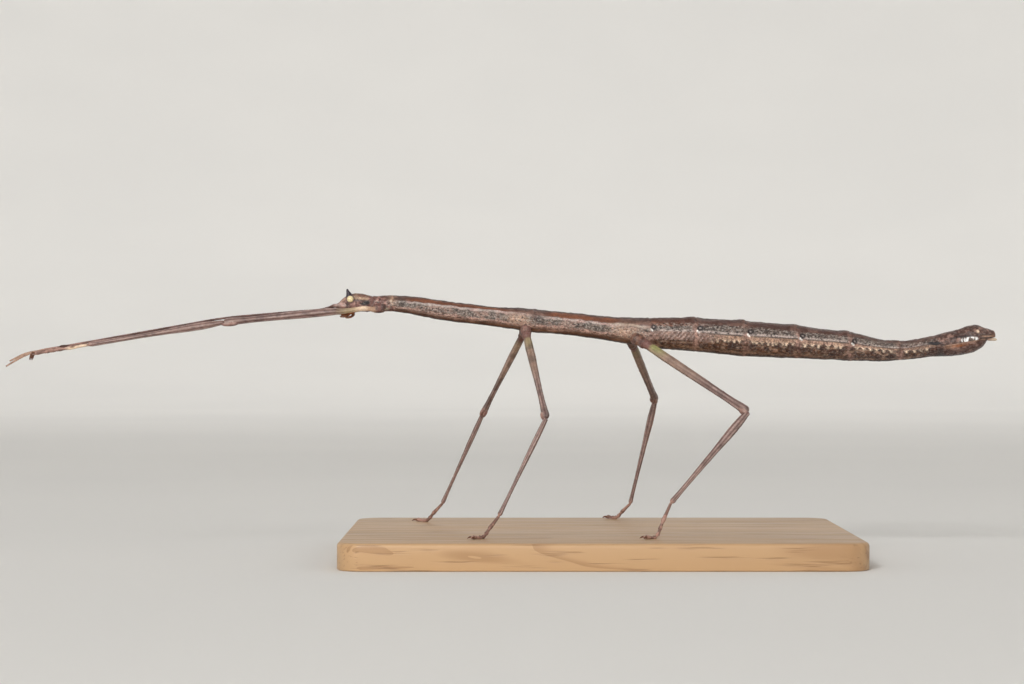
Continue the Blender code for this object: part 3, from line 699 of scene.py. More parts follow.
def trunk_relief(x, up, across, points):
    """How far the trunk's skin stands out from its smooth form, in millimetres.

    It is a sum of bell curves along and round the body: a raised rim before each border and a groove
    at it, a low hump on the back before each border, a keel, folds and ridges along the sides, lumps,
    slanting wrinkles, granules and noise.
    """
    thorax, abdomen = fade(9, 7, x), fade(8, 12, x)
    broken = blotches(points, 0.7, 8) * (0.3 + 0.7 * fade(-0.2, 0.3, up))
    relief = 0.05 * broken * sum(hump(x, border - 0.3, 0.28) for border in BORDERS)
    relief -= 0.07 * broken * sum(hump(x, border + 0.02, 0.12) for border in BORDERS)
    relief += 0.2 * np.clip(up, 0, 1) ** 3 * sum(hump(x, b - 0.7, 0.9) for b in HUMPED_BORDERS)
    relief += 0.05 * hump(across, 0, 0.1) * (up > 0) * (0.4 + 0.6 * thorax)
    fold, line = abdomen * fade(51, 49, x), side_line(x)
    relief += fold * (0.06 * hump(up, line - 0.07, 0.05) - 0.06 * hump(up, line, 0.025))
    relief += fold * (0.04 * hump(up, line + 0.12, 0.06) + 0.05 * hump(up, -0.62, 0.06))
    side = thorax * fade(-31, -30, x)
    relief += side * (0.08 * hump(up, -0.45, 0.12) + 0.05 * hump(up, stripe_line(x) - 0.08, 0.06))
    relief -= side * (0.06 * hump(up, -0.7, 0.05) + 0.05 * hump(up, 0.02, 0.06))
    relief += 0.03 * slanting(x, points) * hump(x, 14.2, 3.2) * hump(up, -0.05, 0.3)
    relief += 0.05 * noise(points, 2.4, 3) + 0.04 * noise(points, 0.8, 4)
    relief += 0.03 * noise(points / (3, 1, 1), 0.4, 5) + 0.03 * noise(points, 0.45, 9)
    for place, height, rise, reach in LUMPS:
        relief += rise * spots(points, both_sides([(place, height)]), reach)
    relief += 0.09 * fade(-30.9, -31.2, x) * noise(points, 0.45, 10)
    relief += 0.05 * spots(points, side_dots(True), 0.18)
    return relief - 0.1 * spots(points, border_spots(0.4, 0.5), 0.2)


def paint_thorax(coat, x, up, points):
    """Grey side, pinkish ridge and belly of the thorax with ragged edges, then its stripe and hips."""
    ragged = up + 0.07 * noise(points, 0.6, 21) + 0.05 * noise(points / (3, 1, 1), 0.3, 22)
    coat.patch("ridge", 0.5, 0.8, 23, 0.4)
    coat.patch("dark", 0.5 * hump(up, 0.0, 0.35), 0.45, 24, 0.35, 2.2)
    lower = fade(-0.24, -0.36, ragged)
    coat.lay("ridge", 0.95 * lower)
    coat.patch("mottle", 0.5 * lower, 0.4, 26, 0.33, 2.5)
    coat.patch("dark", 0.55 * hump(ragged, -0.68, 0.06), 1.2, 28, 0.6, 2)
    coat.lay("belly", fade(-0.7, -0.8, ragged))
    coat.patch("mottle", 0.7 * fade(-0.66, -0.76, ragged), 0.7, 29, 0.5, 2.5)
    # Painted shade: the belly darkens towards the very bottom
    coat.lay("dark", 0.6 * fade(-0.8, -0.95, ragged))
    paint_stripe(coat, x, ragged)
    paint_hips(coat, x, up)


def paint_stripe(coat, x, ragged):
    """The red-brown stripe along the back, dark along its middle, over a pale line, and painted shade along
    the very top.
    """
    stretch = fade(-29.8, -27.5, x) * fade(-12.8, -14.5, x) + fade(-8.4, -6.6, x) * fade(4.2, 1.8, x)
    edge = stripe_line(x)
    upper = fade(edge - 0.04, edge + 0.04, ragged)
    line = fade(edge - 0.27, edge - 0.2, ragged) * (1 - upper) * fade(-30, -28.5, x) * (0.4 + 0.6 * stretch)
    coat.lay("silver", 0.75 * line)
    coat.patch("pink", 0.5 * line, 0.4, 32, 0.5, 3)
    coat.lay("back", 0.75 * upper)
    coat.patch("ridge", 0.4 * upper * (1 - stretch), 0.6, 30)
    coat.lay("stripe", upper * stretch)
    coat.patch("mottle", 0.4 * upper, 0.4, 31, 0.35, 4)
    coat.lay("dark", 0.35 * hump(ragged, edge - 0.01, 0.03) * stretch)
    # Painted shade: the very top of the back is darkened where the light falls off
    coat.lay("back", 0.85 * fade(0.86, 0.95, ragged))
    coat.lay("mottle", 0.5 * fade(0.84, 0.97, ragged))


def paint_hips(coat, x, up):
    """Tan above the roots of the mid and hind legs, a pale ray, and dark patches between the segments."""
    hips = hump(x, -12.0, 1.7) * hump(up, 0.0, 0.42) + hump(x, 4.2, 1.9) * hump(up, -0.05, 0.45)
    coat.lay("tan", hips)
    coat.patch("ridge", 0.5 * hips, 0.5, 33)
    ray = hump(up, np.interp(x, (0, 4.7, 7.9), (0.42, 0.5, 0.25)), 0.06) * fade(0.5, 2.5, x)
    coat.lay("pale", 0.35 * ray)
    coat.patch("dark", 0.8 * hump(x, -9.2, 0.75) * hump(up, 0.1, 0.5), 0.6, 34, 0.6)
    coat.patch("mottle", 0.7 * hump(x, -12.2, 1.6) * fade(0.6, 0.8, up), 0.6, 35, 0.6, 2)


def thorax_specks(x, up):
    """Shares of pale specks, dark specks and of gloss with painted glints on the thorax."""
    middle, lower = hump(up, 0.02, 0.3), hump(up, -0.48, 0.2)
    pale = 0.95 * middle + 0.6 * lower + 0.7 * hump(up, stripe_line(x) - 0.14, 0.1)
    return np.stack([pale, 0.8 * middle + 0.55 * lower + 0.3, 0 * up], axis=-1)


def paint_pronotum(coat, x, up, points):
    """The lumpy plate behind the head: mauve with dark hollows, pink lumps and a tan collar."""
    front = fade(-30.85, -31.05, x)
    coat.lay("head", front)
    coat.patch("ridge", 0.65 * front, 0.4, 36, 0.5)
    coat.patch("mottle", 0.7 * front, 0.36, 37, 0.45)
    coat.lay("back", 0.6 * front * fade(0.6, 0.8, up))
    lumps = sum(spots(points, both_sides([(place, height)]), reach) for place, height, _, reach in LUMPS)
    coat.lay("pink", 0.6 * front * fade(0.25, 0.8, lumps))
    coat.patch("tan", 0.8 * hump(x, -31.15, 0.4) * fade(-0.5, 0.2, up), 0.5, 38, 0.7)
    # Pale spots: a pale lump on the collar, and two painted glints on the fold behind the fore hip
    coat.lay("pale", 0.9 * spots(points, both_sides([(-31.35, 0.3), (-31.9, -0.62), (-32.15, -0.72)]), 0.18))
    coat.lay("head", fade(-33.5, -33.85, x))


def paint_abdomen(coat, x, up, points):
    """Back and speckled side of the abdomen with its silvery line, and then all the rest of it."""
    ragged = up + 0.05 * noise(points, 0.5, 41) + 0.03 * noise(points, 0.25, 42)
    coat.lay("stripe", 0.75 * fade(15.5, 10, x) * fade(0.45, 0.52, ragged))
    coat.patch("ridge", 0.3, 0.8, 43, 0.35)
    coat.patch("mottle", 0.4, 0.45, 44, 0.35, 2)
    # Painted shade: the top of the abdomen is darkened where the light falls off
    coat.lay("mottle", 0.6 * fade(0.7, 0.92, up))
    line = side_line(x)
    top = np.interp(x, (8, 15, 18, 35, 43, 50), (0.45, 0.5, 0.63, 0.6, 0.8, 0.85))
    zone = fade(top + 0.04, top - 0.04, ragged) * fade(line, line + 0.02, up)
    coat.lay("side", 0.85 * zone)
    coat.patch("dark", 0.5 * zone, 0.42, 45, 0.4, 1.6)
    white = zone * hump(up, line + 0.1, 0.055)
    coat.lay("silver", 0.85 * white * fade(8, 10, x))
    paint_lower_side(coat, x, up, ragged)
    paint_fan(coat, x, up)
    paint_borders(coat, x, up)


def paint_lower_side(coat, x, up, ragged):
    """The tan band under the fine line, scalloped by teeth, and the mottled side and belly under it."""
    away = np.min(np.abs(x[:, :1] - side_teeth()[None]), axis=1)[:, None]
    tip = np.clip(away / np.where(x < WIDE_TEETH, TOOTH_STEP, DOT_STEP) * 2, 0, 1)
    lower = dot_line(x) + 0.14 * tip * (1 + 0.6 * noise(coat.points, 1.1, 55))
    inside = fade(-0.02, 0.02, up + 0.05 * noise(coat.points, 0.25, 42) - lower)
    band = Coat(coat.ink, "tan", coat.points)
    band.patch("ridge", 0.5, 0.7, 49, 0.45)
    band.patch("mottle", 0.45, 0.4, 50, 0.33, 0.5)
    band.lay("cream", 0.75 * hump(up, lower + 0.03, 0.06) * fade(0.8, 0.4, tip))
    under = Coat(coat.ink, "mottle", coat.points)
    under.patch("belly", 0.6, 0.5, 51, 0.4, 1.6)
    under.patch("dark", 0.5, 0.42, 52, 0.35)
    under.patch("tan", 0.5, 0.36, 53, 0.22, 1.5)
    under.lay("mottle", 0.9 * hump(up, lower - 0.05, 0.07))
    under.lay("dark", 0.5 * hump(up, lower - 0.03, 0.04))
    under.patch("tan", 0.5 * hump(ragged, -0.81, 0.035), 1.2, 54, 0.6, 3)
    # Painted shade: the belly darkens towards the very bottom
    under.lay("dark", 0.65 * fade(-0.85, -0.95, ragged))
    below = fade(side_line(x) + 0.01, side_line(x) - 0.01, up)
    coat.cover(under.colour, below * fade(8, 9, x))
    length = fade(16.3, 18.5, x) * (1 - 0.5 * fade(44, 50, x))
    coat.cover(band.colour, 0.95 * inside * below * length)


def paint_fan(coat, x, up):
    """Slanting light and dark wrinkles at the abdomen's front, and lines along its second segment."""
    early = fade(7.8, 8.6, x) * fade(18.5, 15.8, x) * fade(-0.45, -0.3, up) * fade(0.2, 0.1, up)
    slant = slanting(x, coat.points, 1.5 * noise(coat.points, 0.8, 59))
    patchy = 0.35 + 0.65 * blotches(coat.points, 0.9, 58)
    coat.lay("ridge", 0.6 * early)
    coat.lay("silver", 0.6 * early * patchy * fade(-0.1, 0.7, slant))
    coat.lay("mottle", 0.6 * early * patchy * fade(0.3, 0.9, -slant))
    second = fade(8.5, 9.5, x) * fade(14.8, 14.0, x)
    coat.lay("mottle", 0.45 * second * fade(0.5, 0.65, up))
    coat.lay("mottle", 0.9 * second * (hump(up, -0.42, 0.035) + hump(up, -0.58, 0.04)))
    coat.lay("tan", 0.6 * second * hump(up, -0.5, 0.035))


def paint_borders(coat, x, up):
    """The fine dark line, the pinkish columns at the borders, cream dots, ringed spots and white wedges
    painted as glints.
    """
    points = coat.points
    gaps = 1 - sum(hump(x, border + 0.4, 0.7) for border in BORDERS)
    coat.lay("dark", 0.95 * hump(up, side_line(x), 0.022) * gaps * fade(50.5, 49.5, x) * fade(14.5, 16, x))
    near = border_columns(x)
    coat.lay("ridge", 0.85 * near * blotches(points, 0.5, 56, 0.8) * (0.35 + 0.65 * fade(0.85, 0.6, up)))
    coat.patch("mottle", 0.7 * near, 0.4, 57, 0.35)
    coat.lay("dark", 0.9 * spots(points, border_spots(0.86, -0.1), 0.2))
    uneven = 0.75 + 0.5 * noise(points, 0.3, 60)
    for large, low, high, reach in ((True, 0.05, 0.8, 0.2), (False, 0.1, 0.9, 0.17)):
        coat.lay("cream", fade(low, high, spots(points, side_dots(large), reach)) * uneven)
    coat.lay("dark", fade(0.25, 0.6, spots(points, border_spots(0.4, 0.5), 0.5)))
    coat.lay("silver", 0.8 * fade(0.4, 0.85, spots(points, border_spots(0.41, 0.52), 0.2)))
    # Painted highlight: small white glints under the ringed spot of each spotted border
    wedges = border_spots(0.22, 0.1) + border_spots(0.15, 0.3)
    coat.lay("white", fade(0.2, 0.7, spots(points, wedges, 0.17)))


def abdomen_specks(x, up):
    """Shares of pale specks, dark specks and of gloss with painted glints on the abdomen."""
    line = side_line(x)
    zone = fade(0.72, 0.62, up) * fade(line + 0.02, line + 0.08, up)
    band = fade(line, line - 0.04, up) * fade(-0.3, -0.2, up)
    under = fade(-0.2, -0.3, up) * fade(-0.97, -0.9, up)
    clear = 1 - 0.75 * border_columns(x)
    pale, dark = zone + 0.3 * band + 0.35 * under, zone + 0.35 * band + 0.7 * under + 0.2
    return np.stack([pale * clear, dark * clear, 0 * up], axis=-1)


def black_mark(x, height):
    """How much a place lies in the black mark on each side of the tail's front."""
    return hump(x, 50.9, 1.05) * hump(height, 32.25, 0.34)


def gloss_and_painted_glint(x, height):
    """The glossy hollow on each side of the tail, where a greyish sheen and glints are painted as highlights.
    """
    return fade(0.3, 0.6, hump(x, 56.2, 1.5) * hump(height, 32.85 + 0.12 * (x - 56), 0.42))


def paint_tail(coat, x, up, points):
    """The black mark at the front of the tail, the painted sheen of its glossy hollow, pale dot and brown
    tip.
    """
    tail = Coat(coat.ink, "back", points)
    tail.patch("ridge", 0.6, 0.34, 61, 0.35)
    tail.patch("mottle", 0.5, 0.36, 62, 0.4)
    tail.patch("dark", 0.35, 0.9, 63, 0.3, 2)
    coat.cover(tail.colour, 0.95 * fade(50.7, 51.8, x) + 0.5 * fade(44, 50, x) * fade(0.1, 0.3, up))
    coat.lay("mottle", 0.8 * fade(49.6, 50.7, x) * fade(0.0, -0.25, up))
    height = points[..., 2]
    ragged = height + 0.1 * noise(points, 0.4, 64)
    coat.lay("dark", fade(0.35, 0.55, black_mark(x, ragged)) * fade(-0.6, -0.2, up))
    line = hump(ragged, 33.3 + 0.1 * (x - 55), 0.13)
    coat.lay("dark", 0.9 * line * fade(52.5, 54.5, x) * fade(58.4, 57.6, x))
    # Painted highlight: a greyish sheen laid over the tail's glossy hollow
    coat.lay("side", 0.9 * gloss_and_painted_glint(x, height))
    coat.lay("cream", fade(0.1, 0.8, spots(points, pair((57.5, 1.3, 34.05)), 0.26)))
    beak = fade(57.9, 58.6, x)
    coat.lay("tan", 0.8 * beak * hump(ragged, 33.35, 0.12))
    coat.lay("dark", 0.9 * beak * (hump(ragged, 33.62, 0.09) + hump(ragged, 33.12, 0.08)))
    coat.lay("belly", 0.7 * fade(59.2, 60.0, x) * hump(height, 33.5, 0.3))


def trunk_rings(step):
    """Places of the rings of points along X: evenly spaced, with more at the lip, borders and tip."""
    start, end = LIP_END - LIP_LENGTH * LIP_SHARE, TRUNK[-1, 0]
    even = np.linspace(LIP_END, end, int((end - start) / step))
    lip = LIP_END - LIP_LENGTH * np.cos(np.linspace(0.42, np.pi / 2, 7))
    tip = end + TIP_LENGTH * np.cos(np.linspace(0, np.pi / 2, 6)[1:]) - TIP_LENGTH
    borders = np.array(BORDERS)[:, None] + BESIDE_BORDER
    x = np.unique(np.concatenate([even, lip, borders.ravel(), tip]))
    return x[np.concatenate([[True], np.diff(x) > LEAST_STEP])]


def trunk_specks(x, up, points, rear):
    """Shares of pale specks, dark specks and of gloss with painted glints: the thorax's, the abdomen's and
    the tail's.
    """
    tail = fade(50, 52, x)[..., None]
    specks = thorax_specks(x, up) * (1 - rear[..., None]) + abdomen_specks(x, up) * rear[..., None]
    specks = specks * (1 - tail) + tail * (0.3, 0.55, 0)
    rings = fade(0.1, 0.5, spots(points, border_spots(0.35, 0.4), 0.5))
    mark = fade(0.2, 0.5, black_mark(x, points[..., 2]))
    specks = specks * (1 - rings)[..., None] * (1 - mark[..., None])
    # The third share, gloss with painted glints, lies in the tail's hollow
    specks[..., 2] = gloss_and_painted_glint(x, points[..., 2])
    return specks


def make_trunk(sizes, ink):
    """The trunk's skin, from the lip under the head to the tail's tip, cut off above the tail plate."""
    flat = trunk_rings(sizes.trunk_step / MM)
    angle = turns(TRUNK_SIDES) - 0.2 * np.sin(2 * turns(TRUNK_SIDES))
    across, up = np.cos(angle)[None], np.sin(angle)[None]
    axis, depth, width = trunk_form(flat)
    points = ovals(flat, across, up, axis, depth / 2, width / 2)
    x, flat_up = points[..., 0], np.broadcast_to(up, points.shape[:2])

    coat = Coat(ink, "side", points)
    paint_thorax(coat, x, flat_up, points)
    paint_pronotum(coat, x, flat_up, points)
    abdomen = Coat(ink, "back", points)
    paint_abdomen(abdomen, x, flat_up, points)
    paint_tail(abdomen, x, flat_up, points)
    rear = fade(7.4, 8.4, x)
    coat.cover(abdomen.colour, rear)
    grooves = sum(hump(x, border + 0.03, 0.1) for border in THORAX_BORDERS)
    coat.patch("dark", 0.5 * grooves * fade(-0.3, 0.3, flat_up), 0.7, 57, 0.6)

    grain = np.clip(0.25 + 0.6 * hump(flat_up, -0.1, 0.55), 0, 0.8) * (1 - 0.4 * fade(50, 52, x))
    relief = trunk_relief(flat[:, None], up, across, points)
    relief += 0.045 * grain * granules(points, sizes.granule / MM, 6)
    tip = np.sqrt(1 - np.clip((x - TRUNK[-1, 0] + TIP_LENGTH) / TIP_LENGTH, 0, 0.97) ** 2)
    skin = ovals(flat, across, up, axis, (depth / 2 + relief) * tip, (width / 2 + relief) * tip)
    edge = tail_split(x) + 0.05 * noise(points / (2, 1, 1), 0.6, 11)
    cut = edge - 4 * fade(OPERCULUM_START + 0.6, OPERCULUM_START, x)
    skin[..., 2] = np.maximum(skin[..., 2], cut)
    return surface("skin", skin, coat.colour, grain, trunk_specks(x, flat_up, points, rear))


# Head

def head_lines(x):
    """Heights of the ridge behind the eye, of the dark crescent under it and of the front's seam, at x."""
    return 39.3 - 0.12 * (x + 37), 38.27 + 0.163 * (x + 36) ** 2, 38.1 + 0.67 * (x + 39.6)


def away_from(place, side, points):
    """Distance of each point from a place on the given side."""
    return np.linalg.norm(points - mirrored(place, side), axis=-1)


def paint_head(coat, points):
    """Brown crown, tan stripe behind the eye, mauve cheek with a dark crescent, and then the face."""
    x, y, z = np.moveaxis(points, -1, 0)
    ragged = z + 0.06 * noise(points, 0.35, 71)
    ridge, hollow, seam = head_lines(x)
    behind = fade(-37.3, -36.8, x)
    coat.patch("ridge", 0.55, 0.4, 72, 0.35)
    coat.patch("mottle", 0.7, 0.3, 73, 0.35)
    crown = fade(0.1, 0.25, ragged - ridge)
    coat.lay("belly", 0.45 * crown)
    coat.patch("tan", 0.5 * crown, 0.6, 74, 0.4)
    scallop = 0.1 * np.abs(np.sin(np.pi * x / 0.52))
    stripe = fade(-0.24, -0.17, z + scallop - ridge) * fade(0.26, 0.14, ragged - ridge) * behind
    stripe = stripe * fade(-34.2, -34.8, x)
    coat.lay("tan", stripe)
    coat.lay("cream", 0.4 * stripe * hump(z - ridge, -0.06, 0.1))
    coat.patch("belly", 0.35 * stripe, 0.35, 75, 0.4)
    coat.lay("dark", 0.8 * behind * fade(-34.4, -34.8, x) * hump(z + scallop - ridge, -0.27, 0.08))
    coat.lay("dark", 0.35 * behind * hump(z, 38.8, 0.16))
    thick = 0.12 + 0.24 * hump(x, -34.9, 0.8)
    crescent = fade(-36.3, -35.7, x) * fade(-34.25, -34.5, x) * hump(ragged - hollow, 0, thick)
    coat.lay("dark", fade(0.15, 0.5, crescent))
    coat.lay("pink", 0.3 * hump(x, -37.1, 0.8) * hump(z, 38.15, 0.28))
    coat.lay("pink", 0.8 * spots(points, pair((-34.5, 1.0, 38.98)), 0.24))
    paint_face(coat, x, y, z - seam)
    coat.lay("head", fade(-34.7, -34.35, x))


def paint_face(coat, x, y, above_seam):
    """The pinkish front with its tan seam, and the dark sockets of the feelers, eyes and horns."""
    front, beside = fade(-37.9, -38.5, x), fade(0.3, 0.5, np.abs(y))
    coat.lay("ridge", 0.4 * front)
    coat.patch("pink", 0.4 * front, 0.5, 76, 0.4)
    coat.patch("mottle", 0.35 * front, 0.3, 79, 0.4)
    coat.lay("tan", 0.9 * front * hump(above_seam, 0, 0.09) * beside)
    coat.lay("mottle", 0.6 * front * hump(above_seam, -0.2, 0.08) * beside)
    coat.lay("dark", 0.9 * spots(coat.points, pair((-38.15, 1.0, 37.98)), 0.42))
    for side in SIDES.values():
        coat.lay("dark", 0.9 * hump(away_from(EYE_PLACE, side, coat.points), EYE_RIM, 0.08))
        coat.lay("horn", fade(0.75, 0.4, away_from(HORN_ROUTE[1], side, coat.points)))


def head_relief(points, up):
    """How far the head's skin stands out: ridges, hollows, warts at the back, eye sockets and noise."""
    x, y, z = np.moveaxis(points, -1, 0)
    ridge, hollow, seam = head_lines(x)
    behind = fade(-37.3, -36.8, x)
    relief = 0.04 * noise(points, 0.7, 77) + 0.04 * noise(points, 0.35, 78) + 0.02 * noise(points, 0.2, 70)
    relief += behind * (0.07 * hump(z - ridge, 0, 0.12) - 0.06 * hump(z - ridge, -0.32, 0.12))
    relief -= 0.05 * hump(x, -35.1, 0.6) * hump(z - hollow, 0, 0.2)
    relief -= 0.05 * hump(y, 0, 0.07) * (up > 0.3) * fade(-38.3, -37.6, x)
    front = fade(-37.9, -38.5, x)
    relief += 0.07 * front * hump(z - seam, 0, 0.1)
    warts = [wart for side in SIDES.values() for wart in mirrored(HEAD_WARTS, side)]
    relief += 0.12 * spots(points, warts, 0.16)
    for side in SIDES.values():
        away = away_from(EYE_PLACE, side, points)
        relief += 0.07 * hump(away, EYE_RIM + 0.06, 0.09) - 0.12 * fade(EYE_RIM, EYE_RIM - 0.2, away)
    return relief


def make_head(ink):
    """The head's skin: rings of squarish ovals from the neck to the front."""
    front = HEAD[-1, 0] + 0.15 * np.linspace(0, 1, 6) ** 2
    x = np.unique(np.concatenate([np.linspace(HEAD[0, 0], HEAD[-2, 0], 64), front]))
    across, up = np.cos(turns(HEAD_SIDES))[None], np.sin(turns(HEAD_SIDES))[None]
    axis, depth, width = smooth(x, HEAD).T[..., None]
    square = (np.abs(across) ** HEAD_SQUARE + np.abs(up) ** HEAD_SQUARE) ** (-1 / HEAD_SQUARE)
    across, up = across * square, up * square
    points = ovals(x, across, up, axis, depth / 2, width / 2)
    coat = Coat(ink, "head", points)
    paint_head(coat, points)
    relief = head_relief(points, up)
    skin = ovals(x, across, up, axis, depth / 2 + relief, width / 2 + relief)
    return surface("head", skin, coat.colour, 0.3, HEAD_SPECKS)


def make_eyes(sizes, ink):
    """Balls that are pale on the outside and darker towards the head."""
    radius = sizes.eye_radius / MM
    for word, side in SIDES.items():
        rings = blob(mirrored(EYE_PLACE, side), (radius, radius * 0.98, radius), 64, 40)
        out = side * (rings[..., 1] - side * EYE_PLACE[1]) / radius
        coat = Coat(ink, "eye", rings)
        coat.lay("tan", fade(0.62, 0.3, out))
        coat.lay("mottle", fade(0.35, 0.1, out))
        complete(surface(f"eyeball_{word}", rings, coat.colour), eye_material(), "eye", f"eye_{word}")


def make_horns(sizes, ink):
    """Curved cones with a rough surface."""
    shares = np.linspace(0, 1, 30)
    thick = sizes.horn_thick / MM * np.interp(shares, *zip(*HORN_TAPER))
    for word, side in SIDES.items():
        rings = rod(mirrored(HORN_ROUTE, side), shares, thick, 28)
        rings = swollen(rings, 0.14 * noise(rings, 0.22, 79))
        coat = Coat(ink, "horn", rings)
        coat.patch("head", 0.5 * fade(0.4, 0, shares)[:, None], 0.3, 80, 0.4)
        horn = surface(f"horn_cone_{word}", rings, coat.colour)
        complete(horn, cuticle_material("horn_cuticle", 0.35), "horn", f"horn_{word}")


def palp(route, ink):
    """A jointed finger of the mouth, paler towards its tip."""
    shares, swell = domed(2.2, 0.2, 0.2, 30)
    joints = sum(hump(shares, place, 0.03) for place in (0.34, 0.66))
    thick = 0.38 * swell * (1 - 0.2 * joints) * (1 - 0.3 * shares)
    rings = rod(route, shares, thick, 12)
    coat = Coat(ink, "mouth", rings)
    coat.patch("mottle", 0.7, 0.4, 83, 0.4)
    coat.lay("dark", 0.6 * joints[:, None])
    coat.lay("ridge", 0.75 * fade(0.3, 0.9, shares)[:, None])
    return surface("palp", rings, coat.colour, 0.2)


def make_mouth(ink):
    """Jaws, upper lip and four jointed palps, fused into one piece."""
    shares = np.linspace(0, 1, 24)
    size = smooth(shares, np.stack([np.linspace(0, 1, len(JAW_SIZE)), JAW_SIZE], axis=1))[:, 0]
    rings = rod(JAW_ROUTE, shares, size, 36, 0.9)
    coat = Coat(ink, "mouth", rings)
    coat.patch("mottle", 0.6, 0.45, 81)
    jaws = surface("jaws_and_palps", rings, coat.colour, 0.3)
    others = [surface("lip", blob((-38.85, 0, 36.95), (0.22, 0.52, 0.42)), ink["ridge"], 0.3)]
    for side in SIDES.values():
        for name, (place, radii) in MOUTH_BALLS.items():
            others.append(surface(name, blob(mirrored(place, side), radii), ink["mouth"], 0.3))
        others += [palp(mirrored(route, side), ink) for route in PALP_ROUTES]
    complete(fused(jaws, others), cuticle_material("mouth_cuticle", 0.38), "mouth", "mouthparts")


# Feelers

def feeler_height(x, radius):
    """Height of a feeler's axis where it lies against the upper inner side of the elliptic foreleg.

    The ellipse is grown by the feeler's radius, and the axis lies on it at the feeler's distance from
    the middle.
    """
    place, apart, height = np.array([FORE_BEND[-1], *FORELEG[1:]]).T
    half = np.interp(-x, -place, FORELEG_HALF)
    lean = (np.interp(-x, -place, apart) - FEELER_SPREAD) / (half * LIMB_WIDTH + radius)
    return np.interp(-x, -place, height) + (half + radius) * np.sqrt(1 - lean**2)


def feeler_route(word, radius):
    """From the head along the foreleg, then down in a bend to the feeler's own tip."""
    x = np.linspace(*FEELER_LIES, 14)
    along = np.stack([x, np.full_like(x, FEELER_SPREAD), feeler_height(x, radius)], axis=1)
    tip = np.array(FEELER_TIPS[word])
    bend = (along[-1] + tip) / 2 + (0, 0, 0.3)
    return mirrored([FEELER_ROOT, SCAPE_END, *along, bend, tip], SIDES[word])


def paint_feeler(coat, shares, scape):
    """Banded brown, paler towards the tip, with a pink first joint and its few white spots painted as glints.
    """
    coat.lay("leg", (0.5 + 0.3 * np.sin(shares * 90) + 0.2 * fade(0.6, 0.75, shares))[:, None])
    coat.lay("ridge", 0.6 * fade(0.65, 0.8, shares)[:, None])
    coat.lay("tan", 0.75 * fade(0.84, 0.92, shares)[:, None])
    coat.patch("mottle", 0.4, 0.5, 84, 0.4)
    coat.lay("pink", scape)
    coat.lay("pale", 0.2 * scape)
    coat.patch("mottle", 0.35 * scape, 0.35, 85, 0.4)
    # Painted highlight: white glints on the first joint
    coat.patch("white", 0.5 * scape, 0.3, 82, 0.15)
    coat.lay("mottle", 0.6 * hump(shares, 0.03, 0.003)[:, None])


def make_feelers(sizes, ink):
    """Two thick joints and a string of thin ones, each a little wider towards its far end."""
    joints = np.linspace(0.055, 1, FEELER_JOINTS)
    inner, swell = np.array(JOINT_RINGS).T
    others = joints[:-1, None] + np.diff(joints)[:, None] * inner
    shares = np.concatenate([SCAPE_RINGS, others.ravel(), [1]])
    swell = np.concatenate([np.ones(len(SCAPE_RINGS)), np.tile(swell, FEELER_JOINTS - 1), [1]])
    thick = sizes.feeler_thick / MM * np.interp(shares, *zip(*FEELER_TAPER)) * swell
    scape = fade(0.045, 0.03, shares)[:, None]
    for word in SIDES:
        rings = rod(feeler_route(word, sizes.feeler_thick / MM / 2), shares, thick, 12)
        coat = Coat(ink, "mottle", rings)
        paint_feeler(coat, shares, scape)
        # The first joint's third share gives it gloss and a few painted glints
        feeler = surface(f"feeler_{word}", rings, coat.colour, 0.0, scape[..., None] * (0, 0, 0.12))
        complete(feeler, cuticle_material("feeler_cuticle", 0.4), "feeler", f"antenna_{word}")


# Legs

class Leg:
    """Where one leg's joints lie, the plane that it bends in, its foot's direction and its own seed."""

    def __init__(self, name, word):
        self.name, self.word, self.side = name, word, SIDES[word]
        self.fore = name == "fore"
        self.hip = mirrored(HIPS[name], self.side)
        self.root, self.knee, self.ankle, self.toe = mirrored(LEG_JOINTS[name, word], self.side)
        shin, foot = self.ankle - self.knee, self.toe - self.ankle
        self.plane = np.array((0, -1, 0)) if self.fore else unit(np.cross(self.knee - self.root, shin))
        self.forward = unit(foot * (1, 1, self.fore))
        self.level = unit(np.cross(unit(foot * (1, 1, 0)), (0, 0, 1)))
        self.seed = 100 + 10 * list(HIPS).index(name) + (self.side > 0) * 5


def keeled(sides, shares):
    """Sections with keels: the radius is 1 at each keel and falls by the grooves' share between them.

    The grooves fade out towards the ends of the limb.
    """
    between = 1 - np.abs(np.cos(KEELS * turns(sides) / 2)) ** 1.5
    depth = GROOVE * fade(0, 0.06, shares) * fade(1, 0.95, shares)
    return round_section(sides)[None] * (1 - depth[:, None] * between[None])[..., None]


def limb(points, depths, dome, side, step, seed):
    """A length of leg with domed ends and lengthwise keels that carry fine teeth."""
    total = np.linalg.norm(np.diff(points, axis=0), axis=1).sum()
    shares, swell = domed(total, *dome, int(total / step))
    depth = smooth(shares, depths)[:, 0] * swell
    path = curve_through(points, shares)
    rings = carried(path, depth, depth * LIMB_WIDTH, keeled(LIMB_SIDES, shares), side)
    keel = np.abs(np.cos(KEELS / 2 * turns(LIMB_SIDES))) ** 3
    teeth = 0.06 * keel * fade(0, 1, noise(rings, 0.45, seed)) + 0.02 * noise(rings, 0.9, seed + 1)
    return swollen(rings, teeth), shares


